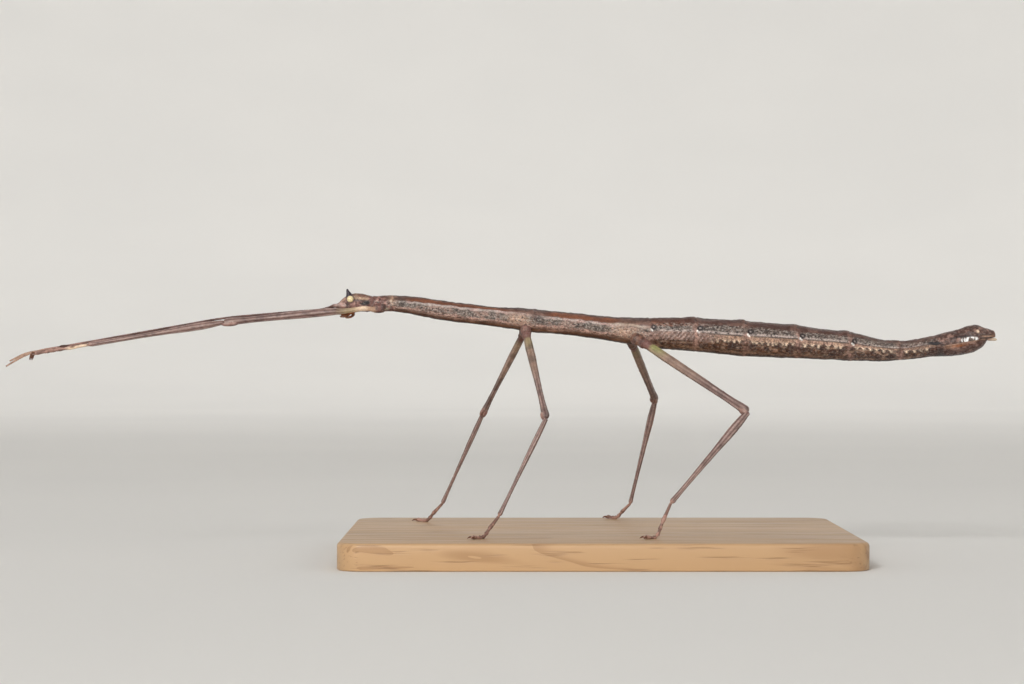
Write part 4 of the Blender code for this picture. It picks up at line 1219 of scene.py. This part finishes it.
def paint_leg(coat, rings, seed):
    """Mauve-brown with paler keels, dark lines between them, lengthwise streaks and slow changes."""
    keel = np.abs(np.cos(KEELS / 2 * turns(rings.shape[1])))[None]
    along = np.broadcast_to(lengths(rings.mean(axis=1))[:, None, None] / 5, (*rings.shape[:2], 1))
    around = np.broadcast_to(round_section(rings.shape[1]), (*rings.shape[:2], 2))
    lines = np.concatenate([along, around], axis=-1)
    coat.lay("ridge", 0.5 * blotches(lines, 0.5, seed, 0.45))
    coat.lay("silver", 0.6 * keel**3)
    coat.lay("mottle", 0.7 * (1 - keel) ** 2)
    coat.lay("mottle", 0.35 * blotches(lines, 0.35, seed + 7, 0.4))
    coat.patch("dark", 0.3, 0.45, seed + 8, 0.2)


def paint_femur(coat, leg, rings, along):
    """The root is cream on a foreleg and green on the others, and grey-tan follows it."""
    paint_leg(coat, rings, leg.seed)
    if leg.fore:
        coat.lay("tan", 0.8 * fade(0.26, 0.12, along))
        coat.lay("green", 0.35 * hump(along, 0.16, 0.07))
        coat.lay("cream", 0.9 * fade(0.15, 0.06, along))
        coat.lay("tan", fade(0.065, 0.035, along))
        return
    hind = leg.name == "hind"
    coat.lay("side", 0.35 * fade(0.66, 0.36, along))
    coat.lay("tan", 0.3 * fade(0.66, 0.36, along))
    high = fade(-0.1, 0.2, rings[..., 2] - rings[..., 2].mean(axis=1, keepdims=True))
    coat.lay("green", fade(0.24, 0.08, along) * (0.35 + 0.6 * high) * (1 if hind else 0.4))
    coat.lay("head", fade(0.075, 0.04, along))
    # Dark patches: a few on the hind thighs as their own mottle, stronger on the mid thighs as partly painted
    # shade
    coat.patch("dark", 0.15 if hind else 0.4, 1.2, leg.seed + 5, 0.35)


def root_colour(leg, ink):
    """The one colour in which the hip and the thigh's root meet, so that no seam shows."""
    return ink["tan" if leg.fore else "head"]


def make_coxa(leg, ink):
    """The lumpy first joint, from the body to the thigh."""
    thick = COXA_THICK[leg.name]
    shares, swell = domed(np.linalg.norm(leg.root - leg.hip), thick * 0.3, thick * 0.35, 10)
    taper = np.interp(shares, (0, 0.5, 0.8, 0.9, 1), (1.05, 1, 0.85, 0.95, 0.8)) * thick * swell
    rings = rod((leg.hip, leg.root), shares, taper, 28, side=(1, 0, 0))
    rings = swollen(rings, 0.14 * noise(rings, 0.5, leg.seed + 2) + 0.08 * noise(rings, 0.25, leg.seed + 9))
    coat = Coat(ink, "head", rings)
    coat.patch("ridge", 0.5, 0.5, leg.seed, 0.4)
    coat.patch("belly", 0.6 * (leg.name == "hind"), 0.9, leg.seed + 1)
    coat.patch("dark", 0.5, 0.5, leg.seed + 2, 0.4)
    coat.cover(root_colour(leg, ink), fade(0.72, 0.95, shares)[:, None])
    return surface("coxa", rings, coat.colour, 0.3, HIP_SPECKS)


def make_femur(leg, step, ink):
    """The thigh, the ball at its root and the lobes that clasp the shin."""
    bend = mirrored(FORE_BEND, leg.side) if leg.fore else []
    route = [leg.root - unit(leg.root - leg.hip) * 0.2, *bend, leg.knee]
    rings, shares = limb(route, FEMUR_DEPTH[leg.name], (0.25, 0.5), leg.plane, step, leg.seed + 3)
    coat = Coat(ink, "leg", rings)
    paint_femur(coat, leg, rings, shares[:, None])
    knob = FEMUR_DEPTH[leg.name][0][1] * (0.48 if leg.fore else 0.58)
    ball = blob(leg.root, (knob, knob, knob), 28, 17)
    return [
        surface("femur", rings, coat.colour, 0.0, LEG_SPECKS),
        surface("trochanter", ball, root_colour(leg, ink), 0.2, KNOB_SPECKS),
        *make_knee_lobes(leg, unit(leg.knee - route[-2]), ink),
    ]


def make_knee_lobes(leg, along, ink):
    """Two long lobes on either side of the thigh's lower edge, where it clasps the root of the shin."""
    under = np.cross(along, leg.plane)
    under = under * np.sign(np.dot(under, leg.ankle - leg.knee) + 1e-9)
    depth, reach = FEMUR_DEPTH[leg.name][-2][1], LOBE_REACH[leg.name]
    lobes = []
    for lean in SIDES.values():
        centre = leg.knee - along * reach * 0.72 + under * depth * 0.26 + leg.plane * lean * depth * 0.2
        shape = blob((0, 0, 0), (reach, depth * 0.26, depth * 0.3), 18, 11)
        coat = Coat(ink, "leg", shape + centre)
        outer = fade(0.0, 0.7, np.abs(shape[..., 1]) / (depth * 0.26))
        outer = outer * fade(0.95, 0.6, np.abs(shape[..., 0]) / reach)
        coat.lay("ridge", 0.6 * outer)
        coat.patch("silver", 0.3 * outer, 0.5, 90)
        coat.patch("mottle", 0.4, 0.4, 91, 0.4)
        turned = shape @ np.stack([along, leg.plane, under])
        lobes.append(surface("knee_lobe", centre + turned, coat.colour, 0.2))
    return lobes


def make_tibia(leg, step, ink):
    """The straight shin."""
    route, depths = [leg.knee, leg.ankle], TIBIA_DEPTH[leg.name]
    rings, shares = limb(route, depths, (0.2, 0.55), leg.plane, step, leg.seed + 4)
    coat = Coat(ink, "leg", rings)
    paint_leg(coat, rings, leg.seed + 2)
    coat.lay("ridge", 0.8 * fade(0.97, 0.99, shares)[:, None])
    return surface("tibia", rings, coat.colour, 0.0, LEG_SPECKS)


def foot_rings(leg):
    """The five joints of a foot, each wider towards its far end, along a path that ends flat."""
    heel = leg.toe - leg.forward * TARSUS_FLAT
    route = (leg.ankle, leg.ankle + (heel - leg.ankle) * 0.55, heel, leg.toe)
    places = np.array(TARSUS_TAPER)[:, 0]
    for start, end in zip(TARSUS_ENDS, TARSUS_ENDS[1:]):
        local = np.unique(np.concatenate([places, np.linspace(0.1, 0.85, 18 if start == 0 else 4)]))
        shares = start - 0.012 + local * (end - start + 0.02)
        thick = TARSUS_THICK * np.interp(local, *zip(*TARSUS_TAPER))
        path = curve_through(route, np.clip(shares, 0, 1))
        path = path + np.linspace(0, 1e-4, len(path))[:, None] * leg.forward
        yield carried(path, thick, thick * 0.95, round_section(14), -leg.level)


def make_tarsus(leg, ink):
    """The foot's joints. A fore foot is cream above, with a brown spot and a dark lump below."""
    pieces = []
    for rings in foot_rings(leg):
        coat = Coat(ink, "ridge", rings)
        coat.patch("mottle", 0.6, 0.4, leg.seed + 6)
        if leg.fore:
            x, under = rings[..., 0], rings[..., 2].mean(axis=1, keepdims=True) - rings[..., 2]
            edge = under + 0.1 * noise(rings, 0.3, leg.seed + 7)
            coat.lay("cream", fade(-80.8, -79.9, x) * fade(-77.2, -77.7, x) * fade(-0.15, 0.0, edge))
            coat.lay("belly", fade(0.2, 0.6, hump(x, -79.6, 0.35) * hump(under, 0.0, 0.12)))
        pieces.append(surface("tarsus", rings, coat.colour, 0.2))
    if leg.fore:
        lump = blob((-80.75, leg.ankle[1], 31.85), (0.85, 0.26, 0.24))
        pieces.append(surface("foot_lump", lump, ink["mottle"], 0.3))
    return pieces


def make_leg(leg, sizes, ink):
    """The surfaces of one leg, to be fused into the skin."""
    step = sizes.leg_step / MM
    upper = [make_coxa(leg, ink), *make_femur(leg, step, ink)]
    return [*upper, make_tibia(leg, step, ink), *make_tarsus(leg, ink)]


def make_claws(leg, sizes, ink):
    """A pair of curved claws with a soft pad between them, fused into one piece."""
    shares = np.linspace(0, 1, 16)
    taper = sizes.claw_thick / MM * np.interp(shares, (0, 0.3, 0.7, 0.95, 1), (1, 1, 0.7, 0.25, 0.1))
    cushion = blob(leg.toe + leg.forward * 0.12 - (0, 0, 0.03), (0.27, 0.27, 0.22))
    pad = surface(f"claws_{leg.name}_{leg.word}", cushion, ink["ridge"])
    claws = []
    for lean in SIDES.values():
        root = leg.toe - leg.forward * 0.25 + leg.level * lean * 0.12
        apart = leg.level * lean * CLAW_SPREAD
        bend = root + leg.forward * CLAW_REACH * 0.6 + apart * 0.6 + (0, 0, 0.03)
        tip = root + leg.forward * CLAW_REACH + apart - (0, 0, CLAW_DROP[leg.name])
        rings = rod((root, bend, tip), shares, taper, 10, 0.8, leg.level)
        coat = Coat(ink, "belly", rings)
        coat.lay("claw", shares[:, None])
        claws.append(surface("claw", rings, coat.colour))
    complete(fused(pad, claws), cuticle_material("claw_cuticle", 0.25), "cuticle_foot")


# The plate and feelers of the tail

def paint_plate(coat, x, height):
    """Mottled brown with an orange streak, a dark keel and front, and a tan upper edge."""
    coat.patch("ridge", 0.45, 0.5, 101, 0.4)
    coat.patch("mottle", 0.6, 0.42, 102, 0.4, 1.5)
    streak = hump(x, 54.3, 1.5) * hump(height, 0.35, 0.18)
    coat.lay("mouth", 0.95 * streak)
    coat.patch("tan", 0.7 * streak, 0.5, 103, 0.4, 3)
    coat.lay("dark", 0.75 * fade(0.75, 0.95, height / (0.2 + height.max(axis=1, keepdims=True))))
    coat.lay("mottle", 0.85 * fade(52.2, 51.4, x))
    coat.lay("dark", 0.8 * hump(x, 51.9, 0.8) * fade(0.15, 0.45, height))
    coat.lay("tan", 0.6 * fade(0.14, 0.04, height) * fade(52, 53, x))


def make_operculum(ink):
    """The boat-shaped plate under the tail: the lower part of the trunk's own section.

    Its front end is narrower, so that it comes out from under the plate before it, and its rear end is
    rounded by a quarter of an ellipse.
    """
    flat = np.linspace(OPERCULUM_START - 0.7, OPERCULUM_END, PLATE_RINGS)
    across, up = np.cos(turns(PLATE_SIDES))[None], np.sin(turns(PLATE_SIDES))[None]
    axis, depth, width = smooth(flat, TRUNK).T[..., None]
    share = np.linspace(0, 1, PLATE_RINGS)[:, None]
    front = 0.95 + 0.07 * fade(OPERCULUM_START - 0.6, OPERCULUM_START + 0.4, flat[:, None])
    ends = front * np.sqrt(1 - np.clip((share - 0.9) / 0.1, 0, 0.985) ** 2)
    points = ovals(flat, across, up, axis, depth / 2, width / 2)
    relief = 0.06 * hump(across, 0, 0.12) + 0.03 * noise(points, 0.6, 71) + 0.02 * noise(points, 0.3, 72)
    points = ovals(flat, across, up, axis, (depth / 2 + relief) * ends, (width / 2 + relief) * ends)
    split = tail_split(flat[:, None])
    points[..., 2] = np.minimum(points[..., 2], split + 0.02)
    coat = Coat(ink, "back", points)
    paint_plate(coat, points[..., 0], split - points[..., 2])
    plate = surface("tail_plate", points, coat.colour, 0.2, PLATE_SPECKS)
    complete(plate, cuticle_material("plate_cuticle", 0.3), "operculum", "operculum")


def make_cerci(ink):
    """The two short feelers at the tail's tip, paler towards their ends."""
    shares, swell = domed(1.5, 0.2, 0.25, 10)
    thick = swell * np.interp(shares, (0, 0.5, 1), (0.6, 0.55, 0.36))
    for word, side in SIDES.items():
        rings = rod(mirrored(CERCUS_ROUTE, side), shares, thick, 20, 0.8)
        coat = Coat(ink, "ridge", rings)
        coat.lay("pale", shares[:, None])
        cercus = surface(f"tail_feeler_{word}", rings, coat.colour)
        complete(cercus, cuticle_material("plate_cuticle", 0.3), "operculum", f"cercus_{word}")


def make_base(ink):
    """A slab: its outline is a rectangle with round corners, and its edge profile is a quarter circle."""
    low, high = (np.array(corner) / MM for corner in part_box("stand_base"))
    quarter = np.linspace(0, np.pi / 2, BASE_STEPS)
    turn = (quarter[None] + np.arange(4)[:, None] * np.pi / 2).ravel()
    signs = np.repeat([(1, 1), (-1, 1), (-1, -1), (1, -1)], BASE_STEPS, axis=0)
    centre = signs * ((high - low)[:2] / 2 - BASE_CORNER)
    direction = np.stack([np.cos(turn), np.sin(turn)], axis=1)
    lean = np.linspace(0, np.pi / 2, 8)
    inset = BASE_EDGE * np.concatenate([0.5 * (1 - np.sin(lean[::2])), 1 - np.cos(lean)])
    under = BASE_EDGE * 0.5 * (1 - np.cos(lean[::2]))
    height = np.concatenate([under, high[2] - BASE_EDGE + BASE_EDGE * np.sin(lean)])
    ring = centre[None] + direction[None] * (BASE_CORNER - inset)[:, None, None]
    z = np.broadcast_to(height[:, None, None], (*ring.shape[:2], 1))
    base = surface("display_base", np.concatenate([ring, z], axis=-1), ink["wood"])
    complete(base, wood_material(ink), "base_wood", "stand_base", sharp=35)


# Materials

# Numbers of the two colour inputs and of the colour output of a mix node
MIX_COLOURS, MIXED_COLOUR = (6, 7), 2


class Graph:
    """Builds the nodes of one material. A value given to an input is a number, a colour or a socket."""

    def __init__(self, name):
        self.material = bpy.data.materials.new(name)
        self.material.use_nodes = True
        self.tree = self.material.node_tree
        self.shader = self.tree.nodes["Principled BSDF"]
        self.place = self.add("ShaderNodeTexCoord").outputs["Object"]

    def add(self, kind, inputs=None, **settings):
        """A new node with its settings, and with its inputs given or linked."""
        node = self.tree.nodes.new(kind)
        for key, value in settings.items():
            setattr(node, key, value)
        for key, value in (inputs or {}).items():
            self.put(node.inputs[key], value)
        return node

    def put(self, socket, value):
        """Links a socket to the input, or sets the input's own value."""
        if isinstance(value, bpy.types.NodeSocket):
            self.tree.links.new(value, socket)
        else:
            socket.default_value = value

    def worked(self, operation, a, b=0.0):
        """Two values worked into one."""
        return self.add("ShaderNodeMath", {0: a, 1: b}, operation=operation).outputs[0]

    def plus(self, a, b):
        return self.worked("ADD", a, b)

    def minus(self, a, b):
        return self.worked("SUBTRACT", a, b)

    def times(self, a, b):
        return self.worked("MULTIPLY", a, b)

    def noise(self, size, detail=3.0, place=None, roughness=0.5, distortion=0.0):
        """Cloudy noise from 0 to 1, with clouds about size across."""
        inputs = {"Vector": place or self.place, "Scale": 1 / size, "Detail": detail, "Roughness": roughness,
                  "Distortion": distortion}
        return self.add("ShaderNodeTexNoise", inputs).outputs["Fac"]

    def cells(self, size, place=None):
        """Distance from the nearest of many random places about size apart, and that place's colour."""
        return self.add("ShaderNodeTexVoronoi", {"Vector": place or self.place, "Scale": 1 / size}).outputs

    def spread(self, value, low, high, to_low=0.0, to_high=1.0):
        """A value carried from one range to another on a smooth step."""
        inputs = {"Value": value, "From Min": low, "From Max": high, "To Min": to_low, "To Max": to_high}
        return self.add("ShaderNodeMapRange", inputs, interpolation_type="SMOOTHSTEP").outputs["Result"]

    def mix(self, share, a, b, blend="MIX"):
        """Two colours blended by a share. The colour sockets of the node have no names of their own."""
        node = self.add("ShaderNodeMix", data_type="RGBA", blend_type=blend)
        self.put(node.inputs["Factor"], share)
        self.put(node.inputs[MIX_COLOURS[0]], a)
        self.put(node.inputs[MIX_COLOURS[1]], b)
        return node.outputs[MIXED_COLOUR]

    def jolted(self, size, reach):
        """The place moved about at random by up to about half the reach."""
        inputs = {"Vector": self.place, "Scale": 1 / size, "Detail": 2.0}
        shift = self.add("ShaderNodeTexNoise", inputs).outputs["Color"]
        centred = self.vector("SUBTRACT", {0: shift, 1: (0.5, 0.5, 0.5)})
        scaled = self.vector("SCALE", {0: centred, "Scale": reach})
        return self.vector("ADD", {0: self.place, 1: scaled})

    def vector(self, operation, inputs):
        return self.add("ShaderNodeVectorMath", inputs, operation=operation).outputs[0]

    def stretched(self, scale, shift=0.0):
        """The place scaled along each axis and shifted."""
        inputs = {"Vector": self.place, "Scale": scale, "Location": (shift, shift, shift)}
        return self.add("ShaderNodeMapping", inputs).outputs["Vector"]

    def attribute(self, name):
        """What the mesh holds at each point under a name."""
        return self.add("ShaderNodeAttribute", attribute_name=name).outputs

    def parts(self, colour):
        """The red, green and blue of a colour."""
        return self.add("ShaderNodeSeparateColor", {"Color": colour}).outputs

    def grey(self, value):
        """A grey as bright as the value."""
        inputs = dict.fromkeys(("Red", "Green", "Blue"), value)
        return self.add("ShaderNodeCombineColor", inputs).outputs["Color"]

    def glaze(self, weight, roughness):
        """A clear coat over the surface."""
        self.shader.inputs["Coat Weight"].default_value = weight
        self.shader.inputs["Coat Roughness"].default_value = roughness

    def finish(self, colour, roughness, height, depth, specular=0.5):
        """Ends in the shader, with bumps of the given depth where the height is 1."""
        bump = self.add("ShaderNodeBump", {"Height": height, "Distance": depth, "Strength": 1.0})
        self.put(self.shader.inputs["Base Color"], colour)
        self.put(self.shader.inputs["Roughness"], roughness)
        self.put(self.shader.inputs["Normal"], bump.outputs["Normal"])
        self.shader.inputs["Specular IOR Level"].default_value = specular
        return self.material


def granular(graph, markings, grain, grains):
    """The markings broken up by granules of many shades with dark edges. Also gives the granules' domes."""
    chance = graph.parts(grains["Color"])
    dome = graph.spread(grains["Distance"], 0.6, 0.1)
    broad = graph.spread(graph.noise(0.9 * MM, 4, roughness=0.6), 0.3, 0.7, 0.8, 1.2)
    fine = graph.spread(graph.noise(0.14 * MM, 3, roughness=0.65), 0.3, 0.7, 0.74, 1.26)
    uneven = graph.times(graph.minus(chance["Red"], 0.5), grain)
    each = graph.plus(graph.times(uneven, 0.8), 1.0)
    lively = graph.plus(graph.times(grain, 0.7), 0.4)
    product = graph.times(graph.times(broad, fine), each)
    change = graph.times(graph.minus(product, 1.0), lively)
    colour = graph.mix(1.0, markings, graph.grey(graph.plus(change, 1.0)), "MULTIPLY")
    edge = graph.times(graph.spread(grains["Distance"], 0.45, 0.8), grain)
    return graph.mix(graph.times(edge, 0.45), colour, (0.02, 0.014, 0.013, 1)), dome


def speckled(graph, colour, markings, shares, dome):
    """Dark specks, pale specks and painted glints of near white, as strong as their shares. Also gives the
    pale specks.
    """
    dark = graph.spread(graph.noise(0.24 * MM, 3, graph.stretched((0.6, 1, 1), 0.03)), 0.5, 0.64)
    dark = graph.times(dark, shares["Green"])
    colour = graph.mix(graph.times(dark, 0.85), colour, (0.022, 0.015, 0.014, 1))
    pale = graph.spread(graph.noise(0.28 * MM, 3, graph.stretched((0.7, 1, 1))), 0.46, 0.6)
    pale = graph.times(pale, graph.plus(graph.times(dome, 0.6), 0.4))
    pale = graph.times(pale, shares["Red"])
    lighter = graph.mix(0.5, markings, (0.74, 0.66, 0.58, 1))
    colour = graph.mix(graph.times(pale, 0.9), colour, lighter)
    # Painted highlight: near-white glints mixed into the colour as far as the blue share says
    painted_glint = graph.noise(0.5 * MM, 2, graph.stretched((1, 1, 0.45)), distortion=0.6)
    painted_glint = graph.spread(painted_glint, 0.44, 0.52)
    return graph.mix(graph.times(painted_glint, shares["Blue"]), colour, (0.88, 0.86, 0.84, 1)), pale


def cuticle_material(name="skin_cuticle", gloss=0.42):
    """Painted markings with granules, specks and painted glints, under a waxy gloss."""
    if name in bpy.data.materials:
        return bpy.data.materials[name]
    graph = Graph(name)
    given = graph.attribute("markings")
    markings, grain = given["Color"], given["Alpha"]
    shares = graph.parts(graph.attribute("specks")["Color"])
    grains = graph.cells(0.2 * MM, graph.jolted(0.25 * MM, 0.12 * MM))
    colour, dome = granular(graph, markings, grain, grains)
    colour, pale = speckled(graph, colour, markings, shares, dome)
    height = graph.times(dome, grain)
    height = graph.plus(height, graph.times(graph.noise(0.16 * MM, 3), 0.7))
    height = graph.plus(height, graph.times(pale, 0.6))
    dull = graph.spread(graph.noise(0.4 * MM, 3), 0.3, 0.7, gloss - 0.08, gloss + 0.14)
    roughness = graph.minus(dull, graph.times(shares["Blue"], 0.25))
    return graph.finish(colour, roughness, height, 0.04 * MM, 0.35)


def eye_material():
    """Pale cream with a faint net of facets and a glassy surface."""
    if "eye_glass" in bpy.data.materials:
        return bpy.data.materials["eye_glass"]
    graph = Graph("eye_glass")
    markings = graph.attribute("markings")["Color"]
    facets = graph.cells(0.055 * MM)
    shade = graph.grey(graph.spread(graph.noise(0.3 * MM, 3), 0.3, 0.7, 0.8, 1.15))
    colour = graph.mix(1.0, markings, shade, "MULTIPLY")
    edge = graph.spread(facets["Distance"], 0.35, 0.6, 0.0, 0.14)
    colour = graph.mix(edge, colour, (0.25, 0.16, 0.06, 1))
    graph.glaze(0.3, 0.12)
    return graph.finish(colour, 0.35, facets["Distance"], -0.006 * MM)


def wood_material(ink):
    """Pale oiled wood: rings and fine pores drawn out along the slab."""
    graph = Graph("oiled_wood")
    plain, worn, late_wood, deep = [(*(ink["wood"] * share), 1) for share in WOOD_SHADES]
    along = graph.stretched((0.06, 1, 1))
    rings = graph.noise(6 * MM, 3, along, distortion=0.8)
    late = graph.spread(graph.worked("FRACT", graph.times(rings, 9.0)), 0.55, 0.98)
    pale = graph.mix(graph.spread(graph.noise(30 * MM, 2, along), 0.3, 0.7), plain, worn)
    colour = graph.mix(graph.times(late, 0.5), pale, late_wood)
    pores = graph.spread(graph.noise(0.35 * MM, 2, graph.stretched((0.04, 1, 1))), 0.58, 0.72)
    colour = graph.mix(graph.times(pores, 0.45), colour, deep)
    height = graph.minus(graph.times(late, 0.3), pores)
    roughness = graph.spread(graph.noise(1.5 * MM, 3, along), 0.3, 0.7, 0.38, 0.52)
    graph.glaze(0.12, 0.25)
    return graph.finish(colour, roughness, height, 0.04 * MM)


def floor_material(colour):
    """Matte paper whose tone changes a little over some 20 cm."""
    graph = Graph("studio_paper")
    tone = graph.mix(graph.spread(graph.noise(0.2, 2), 0.3, 0.7, 0, 0.08), (*colour, 1), (0.5, 0.5, 0.5, 1))
    return graph.finish(tone, 0.9, graph.noise(MM, 2), 0.01 * MM, 0.2)


# Stage

def make_stage(settings):
    """A round studio: a flat floor that bends up into a wall all round, on a circle's quarter."""
    quarter = np.linspace(0, np.pi / 2, 24)
    bend = WALL_BEND * np.stack([np.sin(quarter), 1 - np.cos(quarter)], axis=1) + (WALL_AWAY - WALL_BEND, 0)
    profile = np.vstack([[(0.001, 0), (0.3, 0), (0.7, 0)], bend, [(WALL_AWAY, WALL_TOP)]])
    flat = profile[:, :1, None] * round_section(WALL_SIDES)[None]
    rise = np.broadcast_to(profile[:, 1:, None], (*flat.shape[:2], 1))
    corner, after = ring_corners(*flat.shape[:2])
    quads = np.stack([after[:-1], after[1:], corner[1:], corner[:-1]], axis=-1).reshape(-1, 4)
    points = np.concatenate([flat, rise], axis=-1).reshape(-1, 3)
    mesh = bpy.data.meshes.new("studio_floor")
    mesh.from_pydata(points.tolist(), [], [*quads.tolist(), corner[0].tolist()])
    mesh.shade_smooth()
    mesh.materials.append(floor_material(settings.floor))
    linked("studio_floor", mesh)


def make_light(name, place, target, size, power):
    """A square light that faces its target."""
    lamp = bpy.data.lights.new(name, "AREA")
    lamp.size = size
    lamp.energy = power
    obj = linked(name, lamp)
    obj.location = place
    obj.rotation_euler = (Vector(target) - Vector(place)).to_track_quat("-Z", "Y").to_euler()
    obj.visible_camera = False


def make_camera(settings):
    """A level camera that looks along +Y."""
    camera = bpy.data.cameras.new("camera")
    camera.lens = settings.lens
    camera.sensor_width = 36
    camera.clip_start, camera.clip_end = 0.01, 20
    obj = linked("camera", camera)
    obj.location = settings.camera
    obj.rotation_euler = (np.pi / 2, 0, 0)
    bpy.context.scene.camera = obj


def make_studio(settings):
    """Floor, lights, the air's own faint light and the camera."""
    make_stage(settings)
    for name, (place, target, size) in LIGHTS.items():
        make_light(name, place, target, size, getattr(settings, name))
    world = bpy.data.worlds.new("studio_air")
    world.use_nodes = True
    background = world.node_tree.nodes["Background"]
    background.inputs["Color"].default_value = (1, 1, 1, 1)
    background.inputs["Strength"].default_value = 0.26
    bpy.context.scene.world = world
    make_camera(settings)
    bpy.context.scene.view_settings.view_transform = "Standard"


# The add-on

def inks(context):
    """The chosen colours by name, as arrays."""
    colours = context.scene.insect_colours
    return {name: np.array(getattr(colours, name)) for name in InsectColours.__annotations__}


class INSECT_OT_skin(bpy.types.Operator):
    """Build the trunk, head and legs as one skin with its markings, and the claws of each foot"""

    bl_idname = "insect.skin"
    bl_label = "Skin and claws"

    def execute(self, context):
        sizes, ink = context.scene.insect_sizes, inks(context)
        skin = make_trunk(sizes, ink)
        parts = [make_head(ink)]
        nodes = ["head", "prothorax", "mesothorax", "metathorax", *[f"abdomen_{k}" for k in range(2, 11)]]
        for name in HIPS:
            for word in SIDES:
                leg = Leg(name, word)
                parts += make_leg(leg, sizes, ink)
                make_claws(leg, sizes, ink)
                nodes += [f"{name}_{part}_{word}" for part in ("coxa", "femur", "tibia", "tarsus")]
        complete(fused(skin, parts), cuticle_material(), "cuticle_thorax", *nodes)
        return {"FINISHED"}


class INSECT_OT_face(bpy.types.Operator):
    """Build the eyes, the horns and the mouthparts"""

    bl_idname = "insect.face"
    bl_label = "Eyes, horns and mouth"

    def execute(self, context):
        sizes, ink = context.scene.insect_sizes, inks(context)
        make_eyes(sizes, ink)
        make_horns(sizes, ink)
        make_mouth(ink)
        return {"FINISHED"}


class INSECT_OT_feelers(bpy.types.Operator):
    """Build the two feelers along the forelegs"""

    bl_idname = "insect.feelers"
    bl_label = "Feelers"

    def execute(self, context):
        make_feelers(context.scene.insect_sizes, inks(context))
        return {"FINISHED"}


class INSECT_OT_tail(bpy.types.Operator):
    """Build the plate under the tail and the two short feelers at its tip"""

    bl_idname = "insect.tail"
    bl_label = "Tail plate and tail feelers"

    def execute(self, context):
        ink = inks(context)
        make_operculum(ink)
        make_cerci(ink)
        return {"FINISHED"}


class INSECT_OT_base(bpy.types.Operator):
    """Build the wooden base that she stands on"""

    bl_idname = "insect.base"
    bl_label = "Wooden base"

    def execute(self, context):
        make_base(inks(context))
        return {"FINISHED"}


class INSECT_OT_stage(bpy.types.Operator):
    """Build the floor, the lights and the camera"""

    bl_idname = "insect.stage"
    bl_label = "Studio"

    def execute(self, context):
        make_studio(context.scene.insect_stage)
        return {"FINISHED"}


OPERATORS = (
    INSECT_OT_skin,
    INSECT_OT_face,
    INSECT_OT_feelers,
    INSECT_OT_tail,
    INSECT_OT_base,
    INSECT_OT_stage,
)
GROUPS = {"insect_sizes": InsectSizes, "insect_colours": InsectColours, "insect_stage": StageSettings}


class INSECT_PT_panel(bpy.types.Panel):
    """Buttons for each group of pieces, and the sizes and colours that they use"""

    bl_idname = "INSECT_PT_panel"
    bl_label = "Stick insect"
    bl_space_type = "VIEW_3D"
    bl_region_type = "UI"
    bl_category = "Stick insect"

    def draw(self, context):
        for operator in OPERATORS:
            self.layout.operator(operator.bl_idname)
        for name, group in GROUPS.items():
            box = self.layout.box()
            for key in group.__annotations__:
                box.prop(getattr(context.scene, name), key)


def register():
    for name, group in GROUPS.items():
        bpy.utils.register_class(group)
        setattr(bpy.types.Scene, name, bpy.props.PointerProperty(type=group))
    for operator in OPERATORS:
        bpy.utils.register_class(operator)
    bpy.utils.register_class(INSECT_PT_panel)


def unregister():
    bpy.utils.unregister_class(INSECT_PT_panel)
    for operator in reversed(OPERATORS):
        bpy.utils.unregister_class(operator)
    for name, group in GROUPS.items():
        delattr(bpy.types.Scene, name)
        bpy.utils.unregister_class(group)


def main():
    register()
    bpy.ops.insect.skin()
    bpy.ops.insect.face()
    bpy.ops.insect.feelers()
    bpy.ops.insect.tail()
    bpy.ops.insect.base()
    bpy.ops.insect.stage()


if __name__ == "__main__":
    main()
